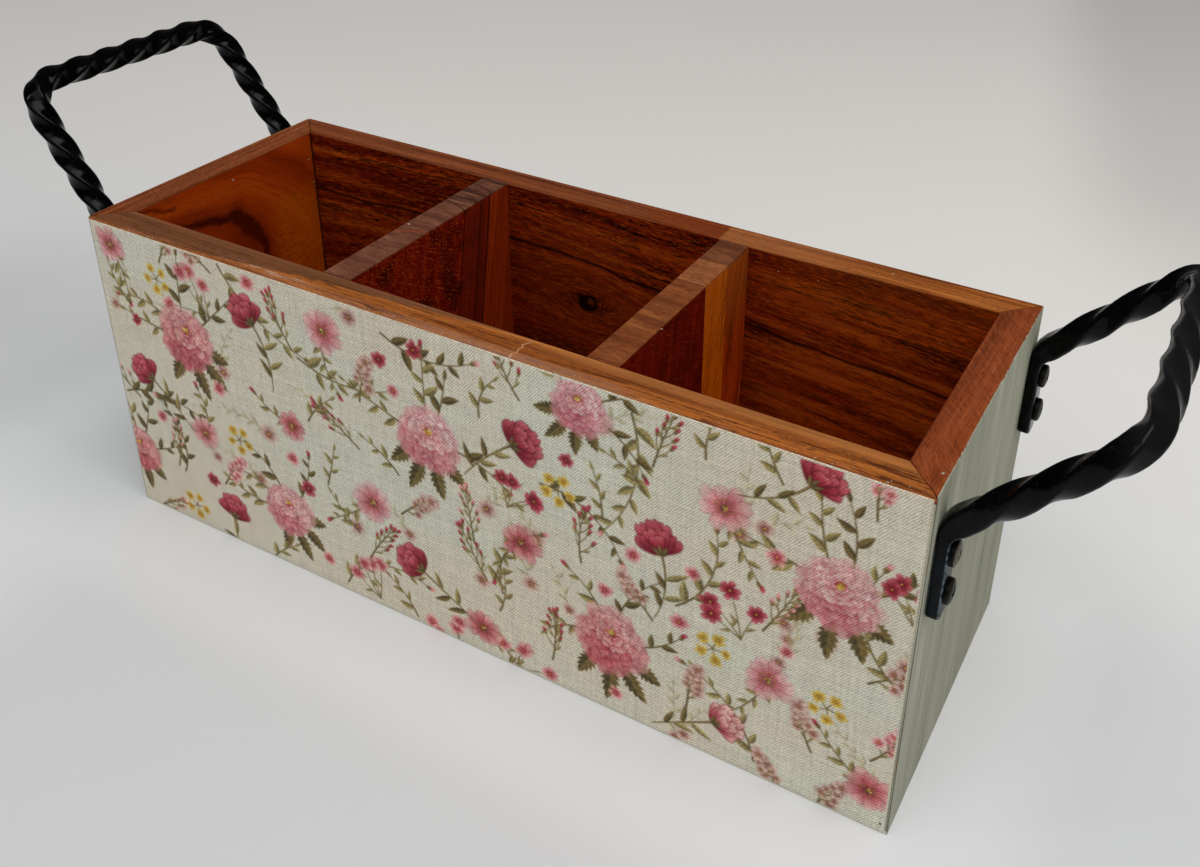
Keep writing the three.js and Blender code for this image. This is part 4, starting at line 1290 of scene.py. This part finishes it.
def specks_piece():
    """Grains of dried glue: along the canvas's upper edge, and strewn over the wood."""
    made = bmesh.new()
    grains = []
    for x in rng.uniform(-170, 172, 26):
        y = rng.uniform(-62.3, -61.2)
        share = (y + HALF_DEPTH - 3.2) / 3.2
        z = HEIGHT - 1.1 + 1.1 * math.sqrt(max(1 - share * share, 0))
        grains.append((x, y, z, rng.uniform(0.14, 0.3)))
    for x in (-152, -141, -12, 29, 88, 143, 160):
        grains.append((x, -62.0, HEIGHT - 0.65, rng.uniform(0.3, 0.5)))
    threads = [(x, -62.35, HEIGHT - 0.95, rng.uniform(0.16, 0.26)) for x in (
        -17, -12.5, -9, -5.5, -1, 3, 21, 24.5, 28, 47, 96, 109, 124, 128.5, 151, 158, 163, -96, -73, -40)]
    grains += threads
    grains += [(-61.6, -2.7, HEIGHT, 0.55), (172.8, -51, HEIGHT, 0.5), (119.7, 57.6, HEIGHT, 0.4),
               (64.0, -22.0, HEIGHT, 0.35), (-INNER_X, 1.1, 135, 0.5), (76.5, INNER_Y, 133.5, 0.3),
               (81, INNER_Y, 131.6, 0.2), (93, INNER_Y, 134, 0.22), (73, INNER_Y, 119, 0.2),
               (-DIVIDER_X + HALF_DIVIDER, -24, 119, 0.35), (-INNER_X, 47, 128, 0.4),
               (-INNER_X, 48.5, 116, 0.35)]
    for x, y, z, size in grains:
        inwards = [1.0, 1.0, 1.0]
        axis = 2 if z > HEIGHT - 2 else (1 if abs(y - INNER_Y) < 0.1 else 0)
        inwards[axis] = 0.35
        if (x, y, z, size) in threads:
            inwards[0] = 3 + 2 * math.sin(5 * x)
        for v in bmesh.ops.create_icosphere(made, subdivisions=2, radius=1.0)["verts"]:
            lump = 1 + 0.35 * noise.noise(v.co * 1.7 + Vector((x, y, z)))
            v.co = Vector((x + v.co.x * size * lump * inwards[0] * 1.2, y + v.co.y * size * lump * inwards[1],
                           z + v.co.z * size * lump * inwards[2])) * MM
    finish = mottled("dried_glue", 0.7, 87, 2.0, ((150, 126, 100), (196, 180, 158)), (0.2, 0.35), 0.05)
    add_piece("glue_specks", mesh_from(made, "glue_specks"), finish, 80)


def glued_mitres_and_shade_piece():
    """The glue that fills the mitres, as four upright sheets, dark as painted shade of the joints."""
    half = 0.14
    points, faces = [], []
    for sx in (-1, 1):
        for sy in (-1, 1):
            top = HEIGHT - (1.5 if sy < 0 else 0.5)
            along, square = np.array((sx, sy)) / math.sqrt(2), np.array((-sy, sx)) / math.sqrt(2) * half
            inner = np.array((sx * INNER_X, sy * INNER_Y)) + along * 0.05
            outer = np.array((sx * HALF_LENGTH, sy * HALF_DEPTH)) - along * 0.9
            outline = [inner - square, outer - square, outer + square, inner + square]
            base = len(points)
            points += [(*p, 0.4) for p in outline] + [(*p, top) for p in outline]
            rings = [(0, 3, 2, 1), (4, 5, 6, 7), (0, 1, 5, 4), (1, 2, 6, 5), (2, 3, 7, 6), (3, 0, 4, 7)]
            faces += [tuple(base + k for k in ring) for ring in rings]
    # dark glue, which is also painted shade in the mitre joints
    finish = mottled("mitre_glue_and_shade", (0.8, 0.8, 5), 89, 3.0, ((20, 8, 4), (46, 22, 11)), (0.2, 0.5), 0.05, 0.2)
    add_piece("mitre_glue_and_shade", new_mesh("mitre_glue_and_shade", points, faces), finish)


def pin_piece():
    """The small pin at the canvas's lower right corner."""
    profile = [(0, -2.0), (0.28, -1.6), (0.28, 0.0), (0.75, 0.0), (0.8, 0.1), (0.62, 0.26), (0.3, 0.32),
               (0, 0.33)]
    mesh = mesh_from(turned_solid(profile, 24), "corner_pin")
    seat = Matrix.Translation((172.4 * MM, (-HALF_DEPTH - 0.22) * MM, 4.6 * MM))
    mesh.transform(seat @ Matrix.Rotation(math.pi / 2, 4, "X") @ Matrix.Scale(MM, 4))
    finish = mottled("pin_steel", 0.4, 88, 3.0, ((52, 46, 40), (104, 96, 86)), (0.3, 0.35), 0.04, steel=True)
    add_piece("corner_pin", mesh, finish)


# Camera, floor and light

def stand_camera():
    """The photo's own camera, worked out from the box's straight edges."""
    data = bpy.data.cameras.new("camera")
    data.lens, data.sensor_width = 37.13, 36.0
    data.shift_x, data.shift_y = -0.0551, -0.1619
    camera = new_object("camera", data)
    right = Vector((0.87796136, 0.47822794, 0.02195211))
    up = Vector((-0.23432675, 0.38930131, 0.89080607))
    back = Vector((0.41746237, -0.78723728, 0.45385311))
    camera.matrix_world = Matrix((right, up, back)).transposed().to_4x4()
    camera.location = (0.2360, -0.3446, 0.3619)
    bpy.context.scene.camera = camera


def lay_floor():
    """A large pale sheet under the box."""
    x, y, z = start("floor")
    haze, tooth = blotch((x, y), 900, 95), blotch((x, y), 3, 96)
    paper = Look(two_tone(haze, (235, 236, 237), (240, 240, 241)), tooth)
    # painted shade: darker in front of the box and to its right than close to it
    away_x, away_y = (abs(x) - HALF_LENGTH).calc("MAXIMUM", 0.0), (abs(y) - HALF_DEPTH).calc("MAXIMUM", 0.0)
    front = hypot(away_x, away_y).step(22, 62) * y.step(130, 50) * x.step(-210, -130)
    paper.coat(front, two_tone(haze, (221, 222, 223), (226, 226, 227)))
    # painted light: paler towards the back, and warmer there
    paper.coat(y.step(-60, 400), two_tone(haze, (244, 240, 234), (249, 245, 239)))
    # painted shade: the sweep is dimmer far to the right, and a painted shadow lies to the left of the box
    right = y.step(260, 560) * (y * 0.25 + x).step(195, 310)
    left = abs(y).step(190, 0) * x.within(-520, -400, -310, -245)
    paper.tint(right * -0.2 + left * -0.16 + 1.0)
    corners = [(-4000, -4000, 0), (4000, -4000, 0), (4000, 4000, 0), (-4000, 4000, 0)]
    mesh = new_mesh("floor", corners, [(0, 1, 2, 3)])
    mesh.materials.append(paper.finish(tooth * 0.05 + 0.62, 0.02, 0.25))
    new_object("floor", mesh)


def area_light(name, place, target, size, power, colour=(1, 1, 1)):
    data = bpy.data.lights.new(name, "AREA")
    data.shape, data.size, data.size_y, data.energy, data.color = "RECTANGLE", *size, power, colour
    light = new_object(name, data)
    light.location = place
    light.rotation_euler = (Vector(target) - Vector(place)).to_track_quat("-Z", "Y").to_euler()


def light_studio():
    """One broad lamp overhead, one in front, and two small ones for the glints."""
    world = bpy.data.worlds.new("studio")
    world.use_nodes = True
    sky = world.node_tree.nodes["Background"]
    sky.inputs["Color"].default_value = (0.965, 0.975, 0.985, 1)
    # the room round the lamps is dark, so gloss shows the lamps and the floor and little else
    ray = world.node_tree.nodes.new("ShaderNodeLightPath")
    fill = world.node_tree.nodes.new("ShaderNodeMath")
    fill.operation = "MULTIPLY_ADD"
    world.node_tree.links.new(ray.outputs["Is Glossy Ray"], fill.inputs[0])
    fill.inputs[1].default_value, fill.inputs[2].default_value = -0.30, 0.38
    world.node_tree.links.new(fill.outputs[0], sky.inputs["Strength"])
    bpy.context.scene.world = world
    area_light("overhead", (0.62, -0.2, 1.5), (0, 0, 0), (1.1, 0.9), 10.4)
    area_light("front", (0.0, -1.2, 1.5), (0, 0, 0.05), (1.4, 0.8), 4.4, (0.99, 0.995, 1.0))
    area_light("window", (-0.5, -0.5, 1.25), (0.1, 0, 0.15), (0.05, 0.09), 0.4)
    area_light("lamp", (0.75, -0.15, 1.2), (0.1, 0, 0.15), (0.05, 0.05), 0.3)
    bpy.context.scene.view_settings.view_transform = "Standard"


stand_camera()
lay_floor()
light_studio()

IRON = iron_finish()
for finish in (
        front_board(), back_board("back_board_left", 3, TEAK), back_board("back_board_right", 3, HONEY),
        end_board("left_end_board", -1, 5), end_board("right_end_board", 1, 6), floor_board(),
        divider("divider_left", 7, RUSSET, DARK, MAUVE, strip=True, curl=0.85, streaks=0.2),
        divider("divider_right_front", 11, RUSSET, DARK, SIENNA, curl=0.45, streaks=0.45),
        divider("divider_right_middle", 12, GOLD, (112, 36, 4), TAN, streaks=0.75, painted_light_at_top=0.25),
        divider("divider_right_back", 13, CHESTNUT, (52, 10, 3), WALNUT, streaks=0.95, painted_light_at_top=0.5)):
    for mesh_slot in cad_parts[finish.name].material_slots:
        mesh_slot.material = finish

canvas_piece()
for handle_shape in HANDLES:
    handle_piece(handle_shape)
screw_pieces()
specks_piece()
glued_mitres_and_shade_piece()
pin_piece()
